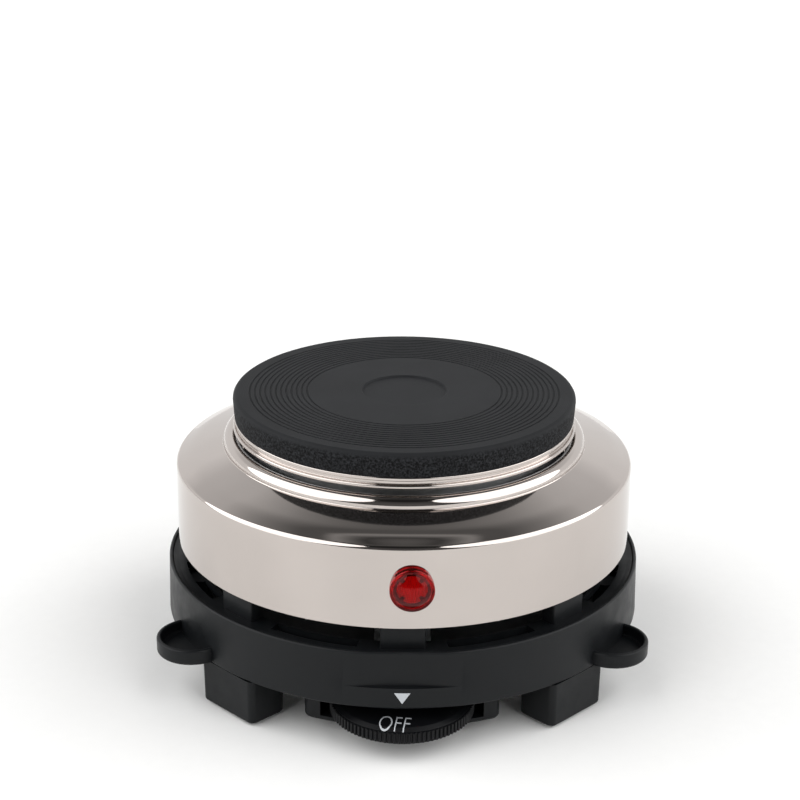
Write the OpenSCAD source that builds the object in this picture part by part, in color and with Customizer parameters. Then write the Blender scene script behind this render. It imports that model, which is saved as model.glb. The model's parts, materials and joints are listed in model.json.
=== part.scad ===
// Single hot plate burner: cast iron plate on a polished steel drum, black base with a thumb dial.
// Millimetres, +Z up, origin on the table under the centre, front and dial towards -Y.

/* [Hot plate] */
// Diameter of the cast iron plate
plate_d = 99.4; // [94:0.2:102]
// Height of the plate's side
plate_h = 7; // [6:0.2:9]
// Rounding of the plate's top edge
plate_round = 1.4; // [0.6:0.1:2]
// Taper of the plate's side towards its underside
plate_draft = 0.5; // [0:0.1:1]
// Iron above the heating channels
plate_web = 3.2; // [2.4:0.1:4]
// Number of turned grooves in the top
groove_count = 12; // [4:1:18]
// Distance between the grooves
groove_pitch = 1.5; // [1.2:0.1:2]
// Width of a groove
groove_w = 0.6; // [0.3:0.1:0.9]
// Depth of a groove
groove_depth = 0.3; // [0.1:0.05:0.5]
// Plain band outside the grooves
plain_band = 4.2; // [3:0.1:6]
// Diameter of the sunk centre
dish_d = 24; // [16:1:30]
// Depth of the sunk centre
dish_depth = 0.5; // [0.2:0.1:1]

/* [Heater] */
// Thickness of the coiled heating wire
coil_d = 3; // [2:0.1:3.4]
// Thickness of the iron ribs between the channels
rib_t = 3; // [2:0.1:4]
// Radius of the plate's middle boss
boss_r = 12; // [10:0.5:14]
// Thickness of the insulating board
board_t = 2; // [1:0.1:3]
// Radius of a heater terminal pin
pin_r = 1.25; // [0.8:0.05:1.5]
// Radius of the ceramic beads on the pins
bead_r = 2.4; // [2.2:0.1:3]
// Distance between the two terminal pins
pin_pitch = 14; // [12:0.5:18]

/* [Trim ring] */
// Height of the ring under the plate
trim_h = 3.2; // [2.6:0.1:4]
// How far the ring's lip stands out past the plate
trim_lip = 0.5; // [0.2:0.1:1]
// Width of the ring's section
trim_w = 4.2; // [3.6:0.1:5]
// Air gap between the ring and the drum's bead
trim_gap = 1.4; // [1:0.1:3]

/* [Drum] */
// How far the drum's wall is set in from the foot of the base
drum_inset = 3.4; // [2.8:0.1:5]
// Height of the drum's straight wall
drum_h = 23.8; // [22:0.2:28]
// Thickness of the steel sheet
sheet_t = 0.6; // [0.4:0.1:0.8]
// Radius of the rolled corner
corner_r = 1.4; // [1:0.1:2.4]
// Slope of the shoulder in degrees
shoulder_slope = 20; // [12:1:24]
// Radius at the foot of the bead
bead_foot_r = 52.7; // [52.2:0.1:54]
// Half width of the bead
bead_half_w = 2.5; // [2:0.1:2.8]
// Height of the bead over its foot
bead_h = 3; // [2.6:0.1:4]
// Depth of the skirt inside the bead
skirt_h = 2.6; // [2:0.1:4]
// Width of the ledge that carries the pan
ledge_w = 4.2; // [3:0.1:5]

/* [Pilot lamp] */
// Diameter of the lens
lens_d = 12; // [11:0.1:14]
// Height of the lens dome
lens_dome = 2.2; // [1.4:0.1:3]
// Thickness of the lens flange
lens_flange = 1.1; // [0.8:0.1:1.6]
// Diameter of the hole in the drum
lamp_hole_d = 9.6; // [8.6:0.1:10.2]
// Length of the lamp body behind the wall
lamp_len = 18; // [14:0.5:24]
// Angle of the lamp from the front, in degrees
lamp_turn = 2; // [-10:0.5:10]

/* [Base] */
// Outer diameter of the base at its foot
base_d = 139.4; // [138.6:0.2:142]
// How much the wall leans in over its height
base_draft = 0.4; // [0:0.1:1]
// Height of the base wall
base_h = 16.2; // [15:0.2:20]
// Thickness of the base wall
base_wall = 2.7; // [2.4:0.1:3]
// Thickness of the rim's edge
rim_w = 1.1; // [0.8:0.1:1.6]
// Drop from the rim to the inner flange
rim_drop = 0.9; // [0.8:0.1:3]
// Thickness of the inner flange
flange_t = 2; // [1.6:0.1:2.4]
// Width of the flange inside the base wall
flange_w = 7; // [6.6:0.1:7.4]
// Air gap between the base rim and the drum
vent_gap = 6; // [4.5:0.1:8]
// Width of a tab under the drum
tab_w = 12.2; // [9:0.1:14]
// Half angle of the flange left beside a tab, in degrees
tab_span = 11; // [9:0.5:13]
// Width of the flat at the front
flat_w = 28; // [20:0.5:30]
// Height of the step below the flat
flat_foot = 6.1; // [5:0.1:8]
// Height of the side ears
ear_h = 4.6; // [3.5:0.1:6]
// Radius of the side ears
ear_r = 10.3; // [8:0.1:12]
// Angle of the ears from the front, in degrees
ear_turn = 58; // [56:1:80]
// Wall and floor of the ears
ear_wall = 1.3; // [1:0.1:2]

/* [Bottom cover] */
// Height from the table to the base wall
foot_h = 14; // [13:0.1:18]
// Thickness of the cover's floor
cover_t = 2.4; // [2:0.1:2.8]
// Seam between the feet and the base wall
seam = 0.2; // [0.1:0.05:0.5]
// Width of a foot along the rim
foot_w = 21.5; // [16:0.5:24]
// Depth of a foot towards the centre
foot_depth = 12.6; // [10:0.2:14]
// How far the foot's outer face is set in from the base wall
foot_inset = 0.4; // [0.3:0.1:2]
// Rounding of the foot's corners
foot_round = 1.7; // [1:0.1:3]
// Diameter of a rubber pad
pad_d = 7; // [5:0.5:8]
// Thickness of a rubber pad
pad_t = 1.5; // [1.2:0.1:2]
// How far a pad stands out of its foot
pad_proud = 0.5; // [0.3:0.1:0.9]
// Width of a slot in the floor
slot_w = 3; // [2:0.5:4]
// Length of a slot in the floor
slot_l = 22; // [16:1:26]
// Number of slots in each row
slot_count = 7; // [4:1:8]

/* [Dial housing] */
// Half width of the housing
housing_half_w = 26.8; // [25:0.1:29]
// How far the housing's front is set in from the base wall
housing_inset = 7.1; // [6:0.1:8]
// Rounding of the housing's corners
housing_round = 3; // [2:0.1:4]
// Height of the housing
housing_h = 9.6; // [9.2:0.1:10.2]
// Wall of the housing
housing_wall = 1.6; // [1.2:0.1:1.7]
// Half width of the opening for the dial
mouth_half_w = 22.4; // [21.4:0.1:23]

/* [Dial] */
// Diameter of the dial over its ribs
dial_d = 40; // [38:0.5:41]
// Height of the dial
dial_h = 4.4; // [3.6:0.1:4.6]
// Distance of the dial's axis from the flange's edge
dial_inset = 5.5; // [5:0.1:6]
// Number of ribs
rib_count = 96; // [60:2:120]
// Depth of a rib
rib_depth = 0.5; // [0.3:0.05:0.8]
// Width of the sloping edge of the top
bevel_w = 1.5; // [0.8:0.1:2]
// Drop of the sloping edge
bevel_h = 0.8; // [0.4:0.1:1.2]
// Gap under the dial
dial_gap = 0.3; // [0.3:0.1:0.6]
// Radius of the hub
hub_r = 7; // [5:0.5:9]
// Radius of the spindle
spindle_r = 3; // [2.8:0.05:3.3]

/* [Thermostat] */
// Thickness of the steel frame
frame_t = 1.2; // [0.8:0.1:1.5]
// Radius of the adjusting screw
adjuster_r = 2; // [1.6:0.05:2.2]
// Travel of the adjusting screw over the dial's turn
adjuster_travel = 0.8; // [0.4:0.05:0.9]
// Radius of the ceramic push pin
push_r = 1.5; // [1:0.1:1.8]
// Length of the ceramic push pin
push_len = 6; // [5.4:0.1:7]
// Thickness of the spring blades
blade_t = 0.5; // [0.3:0.05:0.6]
// Width of the spring blades
blade_w = 7; // [5:0.1:8]
// Thickness of the bimetal
bimetal_t = 0.9; // [0.6:0.1:1.2]
// Radius of a contact
contact_r = 1.6; // [1.2:0.1:2]
// Gap between the contacts at OFF
contact_gap = 0.75; // [0.65:0.05:1]
// Distance from the push pin to the blade's bend
arm_len = 14; // [13:0.5:15]

/* [Wiring] */
// Radius of the main leads
lead_r = 1.3; // [1:0.1:1.5]
// Radius of the lamp leads
thin_lead_r = 0.8; // [0.6:0.1:1]
// Length of the terminal block
block_l = 30; // [26:1:34]
// Width of the terminal block
block_w = 14; // [12:1:16]
// Height of the terminal block
block_h = 9; // [8.8:0.1:9.8]
// Radius of the gland's hole for the cord
cord_r = 3.2; // [2.8:0.1:3.4]
// Radius of the gland's neck
gland_r = 4.3; // [4.2:0.05:4.5]

/* [Fasteners] */
// Radius of the centre stud
stud_r = 3; // [2.5:0.1:3.2]
// Radius of the small screws
screw_r = 1.45; // [1.2:0.05:1.6]
// Radius of their heads
head_r = 2.8; // [2.4:0.1:3]
// Height of their heads
head_h = 1.7; // [1.4:0.1:1.8]

/* [Hidden] */
$fn = 96;
eps = 0.01;
// Clearances: loose parts, running fits and screw holes
play = 0.3;
run_fit = 0.05;
hole_fit = 0.1;

// Radii that the other pieces are placed by, from the base wall in
base_r = base_d / 2;
base_in_r = base_r - base_wall;
drum_r = base_r - drum_inset;
flange_r = base_in_r - flange_w;
dial_y = flange_r - dial_inset;
housing_r = base_r - housing_inset;
foot_face = base_r - foot_inset;

// Levels, from the table up
z_base = foot_h;
foot_step = 0.4;
z_rim = z_base + base_h;
z_flange = z_rim - rim_drop;
z_flange_under = z_flange - flange_t;
z_drum = z_rim + vent_gap;
z_wall_top = z_drum + drum_h;
z_seat = z_base - seam;
z_cover = z_seat - foot_step;
z_floor = z_cover + cover_t;
z_housing = z_cover - housing_h;
z_dial = z_housing + housing_wall + dial_gap;
z_dial_top = z_dial + dial_h;

// Shoulder of the drum: it leaves the rolled corner square to the corner's radius
corner_c = [drum_r - corner_r, z_wall_top - corner_r];
shoulder_n = [sin(shoulder_slope), cos(shoulder_slope)];
shoulder_out = corner_c + corner_r * shoulder_n;
z_bead_foot = shoulder_out[1] + (shoulder_out[0] - bead_foot_r) * tan(shoulder_slope);
z_bead = z_bead_foot + bead_h;
bead_c = [bead_foot_r - bead_half_w, z_bead - bead_half_w];
bead_in_r = bead_foot_r - 2 * bead_half_w;
z_ledge = bead_c[1] - skirt_h;

// Plate, its ring and what hangs under them
plate_r = plate_d / 2;
z_trim = z_bead + trim_gap;
z_plate = z_trim + trim_h;
z_top = z_plate + plate_h;
trim_r = plate_r - plate_draft + trim_lip;
trim_in_r = trim_r - trim_w;
z_board = z_trim + (trim_h - board_t) / 2;
channel_roof = z_top - plate_web;
channel_r = trim_in_r - play;
z_channel = z_board + board_t;
channel_w = (channel_r - boss_r - rib_t) / 2;
mid_rib_r = boss_r + channel_w;
pan_r = bead_in_r - sheet_t - play;
pin_ring_r = mid_rib_r - channel_w / 4;
pin_y = sqrt(pow(pin_ring_r, 2) - pow(pin_pitch / 2, 2));

// Centre stud and its stack of parts, from the ledge down
bar_t = 1.5;
bar_w = 14;
washer_t = 1.2;
nut_h = 5;
nut_r = 2 * stud_r / sqrt(3) * 5 / 3;
z_bar = z_ledge - sheet_t - bar_t;
z_washer = z_bar - washer_t;
z_nut = z_washer - nut_h;
z_shield = z_nut - sheet_t;
z_shield_nut = z_shield - nut_h;
z_stud = z_shield_nut - 2;
stud_grip = 3.5;
shield_r = drum_r - lamp_len - play;
bead_drop = 1.2;
z_pin = z_shield - 6.5;

// Pilot lamp
lamp_z = z_drum + drum_h / 2;
lamp_body_r = lamp_hole_d / 2 - hole_fit;
lens_r = lens_d / 2;
dome_r = lens_r - 0.9;
dome_sphere_r = (pow(dome_r, 2) + pow(lens_dome, 2)) / (2 * lens_dome);
lens_skin = 1;
clip_t = 1;
bulb_r = 2.3;

// Base
base_top_r = base_r - base_draft;
rim_in_r = base_top_r - rim_w;
drum_seat_r = drum_r - hole_fit;
tab_count = 8;
flat_y = sqrt(pow(base_r, 2) - pow(flat_w / 2, 2));
lug_w = 10;
lug_in_r = flange_r - 1.5;
drum_screw_r = (flange_r + drum_r) / 2 - 0.6;
cover_r = base_in_r - play;
screw_post_r = 3.4;
cover_screw_r = flange_r + 1.6;
cover_screw_az = [72, 108, 252, 288];
post_az = [45, 135, 225, 315];

// Dial and thermostat; the thermostat stands over the dial's axis
dial_r = dial_d / 2;
dial_root_r = dial_r - rib_depth;
dial_axis = [0, -dial_y, 0];
spindle_z = z_dial + 1;
z_frame = z_floor;
z_frame_top = z_frame + frame_t;
bushing_r = spindle_r + 1.5;
bushing_z = z_floor - cover_t + 0.4;
bridge_z = z_frame_top + 4.4;
spindle_top = bridge_z - 0.4;
adjuster_z = spindle_top - 5;
adjuster_top = bridge_z + frame_t + 1.2;
push_z = adjuster_top + play;
arm_z = push_z + push_len;
eye_r = 0.9;
eye_pin_r = 0.4;
cheek_w = 1;
hinge_y = -dial_y + arm_len;
arm_y = hinge_y + eye_r + play;
contact_h = 1.1;
contact_y = hinge_y - arm_len / 2 - 0.5;
fixed_z = arm_z - contact_h - contact_gap - contact_h - blade_t;
bimetal_z = arm_z + blade_t + 2.2;
stack_l = 13;
stack_w = 11;
stack_y = arm_y + stack_l;
stack_cap = 2;
stack_top = bimetal_z + bimetal_t + stack_cap;
rivet_r = 1.6;
rivet_y = arm_y + stack_l / 2;
frame_w = 16;
frame_front = -dial_y - 5;
ear_screw_x = 14;
tail_y = stack_y + 7;
fixed_tail_y = stack_y + 5;

// Wiring
block_y = flange_r - 24;
block_z = z_floor;
wire_z = block_z + 5;
wire_x = block_l / 2 - 6;
gland_z = (z_floor + z_flange_under) / 2;
gland_flange_r = 6.6;
// The nose ends as far behind the axis as the dial stands out in front
gland_out = dial_y + dial_r;
gland_flange_t = 2.4;
clamp_y = block_y + block_w + 4;
clamp_x = cord_r + 5;
clamp_h = 2.5;
fuse_r = 2;
fuse_l = 10;
fuse_z = wire_z + 6;
tag_r = 4;
tag_t = 0.8;

// Which node to draw, or all of them

// ---- helpers ----

// Turns its children round the axis, with 0 at the front
module at_az(a) {
  rotate([0, 0, a]) children();
}

// Ring with a rectangular section
module ring(r_in, r_out, z, h) {
  translate([0, 0, z]) difference() {
    cylinder(r = r_out, h = h);
    translate([0, 0, -1]) cylinder(r = r_in, h = h + 2);
  }
}

// Upright drill for a hole through z to z + h
module drill(r, z, h) {
  translate([0, 0, z - eps]) cylinder(r = r, h = h + 2 * eps);
}

// Insulated wire through a list of points
module wire(points, r) {
  for (i = [0 : len(points) - 2]) {
    v = points[i + 1] - points[i];
    translate(points[i])
      rotate([0, acos(v[2] / norm(v)), atan2(v[1], v[0])])
        cylinder(r = r, h = norm(v), $fn = 24);
    if (i > 0) translate(points[i]) sphere(r = r * 1.06, $fn = 24);
  }
}

// Pan head screw, head down, with the underside of its head at z
module screw_up(z, length) {
  translate([0, 0, z]) cylinder(r = screw_r, h = length, $fn = 32);
  difference() {
    translate([0, 0, z - head_h]) cylinder(r = head_r, h = head_h, $fn = 32);
    for (a = [0, 90])
      rotate([0, 0, a])
        translate([-head_r * 0.6, -0.3, z - head_h - eps]) cube([head_r * 1.2, 0.6, 0.8]);
  }
}

// Both terminal pins' places
module at_pins() {
  for (s = [-1, 1]) translate([s * pin_pitch / 2, pin_y, 0]) children();
}

// Places of the drum screws, through the corner tabs
module at_drum_screws() {
  for (a = post_az) at_az(a) translate([0, -drum_screw_r, 0]) children();
}

// Places of the screws that hold the bottom cover
module at_cover_screws() {
  for (a = cover_screw_az) at_az(a) translate([0, -cover_screw_r, 0]) children();
}

// Lays its children along the lamp's axis, with +Z pointing out of the drum
module at_lamp(out) {
  at_az(lamp_turn) translate([0, -out, lamp_z]) rotate([90, 0, 0]) children();
}

// ---- hot plate and heater ----

module hot_plate() {
  groove_out_r = plate_r - plate_draft - plain_band;
  color("#3d3e40") difference() {
    union() {
      // Side with its draft and rounded top edge
      rotate_extrude() union() {
        polygon([
          [0, z_channel], [channel_r, z_channel], [channel_r, z_plate], [plate_r - plate_draft, z_plate],
          [plate_r, z_top - plate_round], [plate_r - plate_round, z_top - plate_round],
          [plate_r - plate_round, z_top], [0, z_top]
        ]);
        translate([plate_r - plate_round, z_top - plate_round]) circle(r = plate_round, $fn = 48);
      }
    }
    // Two channels for the heating coil
    ring(boss_r, mid_rib_r, z_channel - 1, channel_roof - z_channel + 1);
    ring(mid_rib_r + rib_t, channel_r - rib_t / 2, z_channel - 1, channel_roof - z_channel + 1);
    // Turned grooves and the sunk centre
    for (i = [0 : groove_count - 1])
      ring(groove_out_r - i * groove_pitch - groove_w, groove_out_r - i * groove_pitch,
           z_top - groove_depth, groove_depth + 1);
    translate([0, 0, z_top - dish_depth]) cylinder(r = dish_d / 2, h = dish_depth + 1);
    // Threaded hole for the stud
    translate([0, 0, z_channel - 1]) cylinder(r = stud_r, h = stud_grip + 1, $fn = 48);
  }
}

// Radii of the four turns of the heating coil
coil_radii = [
  boss_r + channel_w / 4, boss_r + channel_w * 3 / 4,
  mid_rib_r + rib_t + (channel_w - rib_t / 2) / 4, mid_rib_r + rib_t + (channel_w - rib_t / 2) * 3 / 4
];
coil_z = z_channel + coil_d / 2;

module insulating_cement() {
  color("#e6e0d2") difference() {
    union() {
      ring(boss_r, mid_rib_r, z_channel, channel_roof - z_channel);
      ring(mid_rib_r + rib_t, channel_r - rib_t / 2, z_channel, channel_roof - z_channel);
    }
    for (r = coil_radii)
      ring(r - coil_d / 2 - eps, r + coil_d / 2 + eps, z_channel - 1, coil_d + 1 + eps);
    // Room for the terminal pins
    at_pins() drill(bead_r, z_channel - 1, coil_d + 1.2);
  }
}

module heating_coil() {
  color("#8d8a83") difference() {
    for (r = coil_radii)
      rotate_extrude() translate([r, coil_z]) circle(r = coil_d / 2, $fn = 32);
    at_pins() drill(pin_r, z_channel - 1, coil_d + 1.2);
  }
}

module heater_pins() {
  color("#b9bbbd") at_pins() drill(pin_r, z_pin, coil_z - z_pin);
}

module pin_beads() {
  color("#efece4") at_pins() difference() {
    drill(bead_r, z_shield - bead_drop, z_channel - z_shield + bead_drop - 2 * eps);
    drill(pin_r + eps, z_shield - bead_drop - 1, z_channel - z_shield + bead_drop + 2);
  }
}

module insulating_board() {
  color("#c9c2b0") difference() {
    translate([0, 0, z_board]) cylinder(r = channel_r, h = board_t);
    drill(stud_r + hole_fit, z_board, board_t);
    at_pins() drill(bead_r + hole_fit, z_board, board_t);
  }
}

module trim_ring() {
  lip_t = 1;
  color("#d5d6d8") rotate_extrude() union() {
    // Upper band under the plate, thin groove, then the lower rolled lip
    translate([trim_in_r, z_trim]) square([trim_w - trim_lip * 2, trim_h]);
    translate([trim_in_r, z_trim + trim_h - lip_t]) square([trim_w - trim_lip, lip_t]);
    translate([trim_in_r, z_trim + 0.2]) square([trim_w - lip_t / 2, lip_t]);
    translate([trim_r - lip_t / 2, z_trim + 0.2 + lip_t / 2]) circle(r = lip_t / 2, $fn = 32);
  }
}

// ---- pan, stud and shield ----

module support_pan() {
  color("#b4b6b9") difference() {
    union() {
      translate([0, 0, z_ledge]) cylinder(r = pan_r, h = sheet_t);
      ring(pan_r - sheet_t, pan_r, z_ledge, z_trim - z_ledge);
      // Rolled rim that carries the trim ring
      ring(trim_in_r, pan_r, z_trim - sheet_t, sheet_t);
    }
    drill(stud_r + hole_fit, z_ledge, sheet_t);
    at_pins() drill(bead_r + hole_fit, z_ledge, sheet_t);
  }
}

module stud_spacer() {
  color("#a9abae") ring(stud_r + hole_fit, stud_r + 2.6, z_ledge + sheet_t, z_board - z_ledge - sheet_t);
}

module centre_stud() {
  color("#9c9ea1") translate([0, 0, z_stud])
    cylinder(r = stud_r, h = z_channel + stud_grip - z_stud - eps, $fn = 48);
}

module clamp_bar() {
  half_l = bead_in_r - 1.4;
  color("#8f9194") difference() {
    union() {
      translate([-half_l, -bar_w / 2, z_bar]) cube([2 * half_l, bar_w, bar_t]);
      // Stiffening rib on each side of the stud
      for (s = [-1, 1])
        translate([s > 0 ? stud_r + 6 : -half_l + 8, -1.5, z_bar - 1.2])
          cube([half_l - stud_r - 14, 3, 1.2 + eps]);
    }
    drill(stud_r + hole_fit, z_bar - 2, bar_t + 2);
  }
}

module stud_washer() {
  color("#c2c4c6") ring(stud_r + hole_fit, stud_r * 2.3, z_washer, washer_t);
}

// Hexagon nut with its underside at z
module hex_nut(z) {
  difference() {
    translate([0, 0, z]) cylinder(r = nut_r, h = nut_h, $fn = 6);
    drill(stud_r, z, nut_h);
  }
}

module stud_nut() {
  color("#a3a5a8") hex_nut(z_nut);
}

module heat_shield() {
  color("#c5c7ca") difference() {
    translate([0, 0, z_shield]) cylinder(r = shield_r, h = sheet_t);
    drill(stud_r + hole_fit, z_shield, sheet_t);
    at_pins() drill(bead_r + hole_fit, z_shield, sheet_t);
    // Slots that let the warm air rise
    for (a = [0 : 45 : 315])
      at_az(a + 22.5) translate([-2, -shield_r + 4, z_shield - 1]) cube([4, 12, sheet_t + 2]);
  }
}

module shield_nut() {
  color("#a3a5a8") hex_nut(z_shield_nut);
}

// ---- drum ----

module top_cover() {
  inner_out = corner_c + (corner_r - sheet_t) * shoulder_n;
  foot_in_z = inner_out[1] + (inner_out[0] - bead_foot_r + sheet_t) * tan(shoulder_slope);
  color("#c9c6c4") difference() {
    union() {
      rotate_extrude() union() {
        // Straight wall
        translate([drum_r - sheet_t, z_drum]) square([sheet_t, drum_h - corner_r]);
        // Rolled corner
        intersection() {
          translate(corner_c) difference() {
            circle(r = corner_r, $fn = 64);
            circle(r = corner_r - sheet_t, $fn = 64);
          }
          polygon([
            corner_c, corner_c + [2 * corner_r, 0], corner_c + [2 * corner_r, 2 * corner_r],
            corner_c + 2 * corner_r * shoulder_n
          ]);
        }
        // Sloping shoulder
        polygon([
          inner_out, shoulder_out, [bead_foot_r, z_bead_foot],
          [bead_foot_r - sheet_t, foot_in_z + eps]
        ]);
        // Bead and its foot
        translate([bead_foot_r - sheet_t, foot_in_z]) square([sheet_t, bead_c[1] - foot_in_z]);
        intersection() {
          translate(bead_c) difference() {
            circle(r = bead_half_w, $fn = 64);
            circle(r = bead_half_w - sheet_t, $fn = 64);
          }
          translate([bead_in_r - 1, bead_c[1]]) square([2 * bead_half_w + 2, 2 * bead_half_w]);
        }
        // Skirt and ledge inside the bead
        translate([bead_in_r, z_ledge - sheet_t]) square([sheet_t, bead_c[1] - z_ledge + sheet_t]);
        translate([bead_in_r - ledge_w, z_ledge - sheet_t]) square([ledge_w + eps, sheet_t]);
      }
      // Bent lugs over the corner tabs
      for (a = post_az)
        at_az(a) intersection() {
          translate([-lug_w / 2, -drum_r, z_drum]) cube([lug_w, drum_r - lug_in_r, sheet_t]);
          translate([0, 0, z_drum - 1]) cylinder(r = drum_r - sheet_t / 2, h = sheet_t + 2);
        }
    }
    at_drum_screws() drill(screw_r + eps, z_drum, sheet_t);
    at_lamp(drum_r - 3) cylinder(r = lamp_hole_d / 2, h = 6);
  }
}

// ---- pilot lamp ----

module lamp_lens() {
  color("#c01218") at_lamp(drum_r) rotate_extrude() difference() {
    union() {
      translate([0, eps]) square([lens_r, lens_flange]);
      intersection() {
        translate([0, lens_flange + lens_dome - dome_sphere_r]) circle(r = dome_sphere_r, $fn = 128);
        translate([0, lens_flange]) square([dome_r, lens_dome + 1]);
      }
    }
    // Hollow behind the dome
    translate([0, -1]) square([lamp_body_r - 0.8, 1 + lens_flange + lens_dome - lens_skin - 0.4]);
    translate([-lens_r, -1]) square([lens_r, 10]);
  }
}

module lamp_body() {
  shell = 1;
  color("#8a1014") at_lamp(drum_r - lamp_len) difference() {
    cylinder(r = lamp_body_r, h = lamp_len - eps, $fn = 64);
    translate([0, 0, shell]) cylinder(r = lamp_body_r - shell, h = lamp_len, $fn = 64);
  }
}

module lamp_clip() {
  clip_y = sqrt(pow(drum_r - sheet_t, 2) - pow(lens_r + 0.5, 2));
  color("#b9bbbd") at_lamp(clip_y - clip_t) difference() {
    cylinder(r = lens_r + 0.5, h = clip_t - eps, $fn = 64);
    translate([0, 0, -1]) cylinder(r = lamp_body_r + eps, h = clip_t + 2, $fn = 64);
    for (a = [0 : 60 : 300])
      rotate([0, 0, a]) translate([lamp_body_r - 0.5, -0.4, -1]) cube([1.4, 0.8, clip_t + 2]);
  }
}

module neon_bulb() {
  color("#f0c9a8", 0.6) at_lamp(drum_r - lamp_len + 1 + eps) union() {
    cylinder(r = bulb_r, h = lamp_len - 6, $fn = 48);
    translate([0, 0, lamp_len - 6]) sphere(r = bulb_r - eps, $fn = 48);
  }
}

module lamp_leads() {
  start_y = -(drum_r - lamp_len);
  color("#e9e6df") for (s = [-1, 1])
    wire([
      [s * 2 + lamp_turn * 0.85, start_y + 0.4, lamp_z], [s * 2.2, start_y + 9, lamp_z],
      [s * 4.6, -8, z_drum + 5], [s * 4.6, block_y - 9, z_drum - 4],
      [s * 4.6, block_y - 2, block_z + block_h - 2], [s * 4.6, block_y, block_z + block_h - 2]
    ], thin_lead_r);
}

// ---- base ----

// Half section of the base: wall, rim, sloping trough and flange
module base_section() {
  polygon([
    [base_in_r, z_base], [base_r, z_base], [base_top_r, z_rim - rim_w / 2],
    [base_top_r - rim_w / 2, z_rim - rim_w / 2], [rim_in_r, z_rim - rim_w / 2],
    [drum_r + 1.2, z_flange + 0.35], [drum_seat_r, z_flange],
    [flange_r, z_flange], [flange_r, z_flange_under], [base_in_r, z_flange_under]
  ]);
  translate([base_top_r - rim_w / 2, z_rim - rim_w / 2]) circle(r = rim_w / 2, $fn = 32);
}

module ear(grow, z, h) {
  for (s = [-1, 1])
    at_az(s * ear_turn) translate([0, -base_r, z]) cylinder(r = ear_r - grow, h = h);
}

module base_ring() {
  slot_az = 360 / tab_count - 2 * tab_span;
  color("#26292c") difference() {
    union() {
      difference() {
        union() {
          rotate_extrude($fn = 180) base_section();
          // The ears end inside the wall and are hollow from above
          difference() {
            ear(0, z_base + seam / 2, ear_h - seam / 2);
            translate([0, 0, z_base - 1]) cylinder(r = base_in_r + base_wall / 2, h = ear_h + 2);
          }
        }
        difference() {
          ear(ear_wall, z_base + ear_wall, ear_h);
          translate([0, 0, z_base]) cylinder(r = base_r, h = ear_h * 2);
        }
        // Flat at the front, down to its step
        translate([-flat_w, -base_r - 10, z_base + flat_foot]) cube([2 * flat_w, base_r + 10 - flat_y, base_h]);
        // Air slots in the flange, between the tabs
        for (i = [0 : tab_count - 1])
          rotate([0, 0, -90 + i * 360 / tab_count + tab_span])
            rotate_extrude(angle = slot_az)
              translate([flange_r + 1, z_flange_under - 1]) square([drum_seat_r - flange_r - 1.2, flange_t + 2]);
      }
      // Tabs that carry the drum, with a lip inside its wall
      for (i = [0 : tab_count - 1]) at_az(i * 360 / tab_count) {
        intersection() {
          translate([-tab_w / 2, -drum_r - 1, z_flange - eps]) cube([tab_w, drum_r + 1 - flange_r, vent_gap + rim_drop + eps]);
          translate([0, 0, z_flange - 1]) cylinder(r = drum_seat_r, h = vent_gap + rim_drop + 2);
        }
        if (i % 2 == 0)
          intersection() {
            translate([-tab_w / 2, -drum_r, z_drum - eps]) cube([tab_w, drum_r - flange_r - 1.5, 3]);
            translate([0, 0, z_drum - 1]) cylinder(r = drum_r - sheet_t - play, h = 5);
          }
      }
      // Posts for the cover's screws
      at_cover_screws() drill(screw_post_r, z_floor + eps, z_flange_under - z_floor);
    }
    at_drum_screws() drill(screw_r + hole_fit, z_flange_under - 1, vent_gap + rim_drop + flange_t + 2);
    at_cover_screws() drill(screw_r + eps, z_floor, z_flange_under - z_floor - 1);
    // Hole for the cord gland
    translate([0, base_in_r - 1, gland_z]) rotate([-90, 0, 0]) cylinder(r = gland_r + eps, h = base_wall + 2, $fn = 48);
  }
}

module drum_screws() {
  color("#aeb0b3") at_drum_screws() screw_up(z_flange_under, z_drum + 3 - z_flange_under);
}

// Outline of the dial housing, inset by e: round front, straight sides, round corners
module housing_outline(e) {
  back_y = -dial_y + dial_r + 3;
  corner_x = housing_half_w - housing_round;
  corner_y = sqrt(pow(housing_r - housing_round, 2) - pow(corner_x, 2));
  intersection() {
    circle(r = housing_r - e, $fn = 180);
    translate([-corner_x, -housing_r]) square([2 * corner_x, housing_r + back_y - e]);
  }
  translate([-housing_half_w + e, -corner_y]) square([2 * (housing_half_w - e), corner_y + back_y - e]);
  for (s = [-1, 1]) translate([s * corner_x, -corner_y]) circle(r = housing_round - e, $fn = 48);
}

// One foot: a block with rounded upright corners
module foot() {
  x = foot_w / 2 - foot_round;
  y_out = foot_face - foot_round;
  y_in = foot_face - foot_depth + foot_round;
  z_foot = pad_proud;
  h = z_seat - z_foot;
  translate([-foot_w / 2, -y_out, z_foot]) cube([foot_w, y_out - y_in, h]);
  translate([-x, -foot_face, z_foot]) cube([2 * x, foot_depth, h]);
  for (s = [-1, 1], y = [-y_out, -y_in])
    translate([s * x, y, z_foot]) cylinder(r = foot_round, h = h, $fn = 48);
}

// Places of the four feet and their pads
module at_feet() {
  for (a = post_az) at_az(a) children();
}

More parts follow.
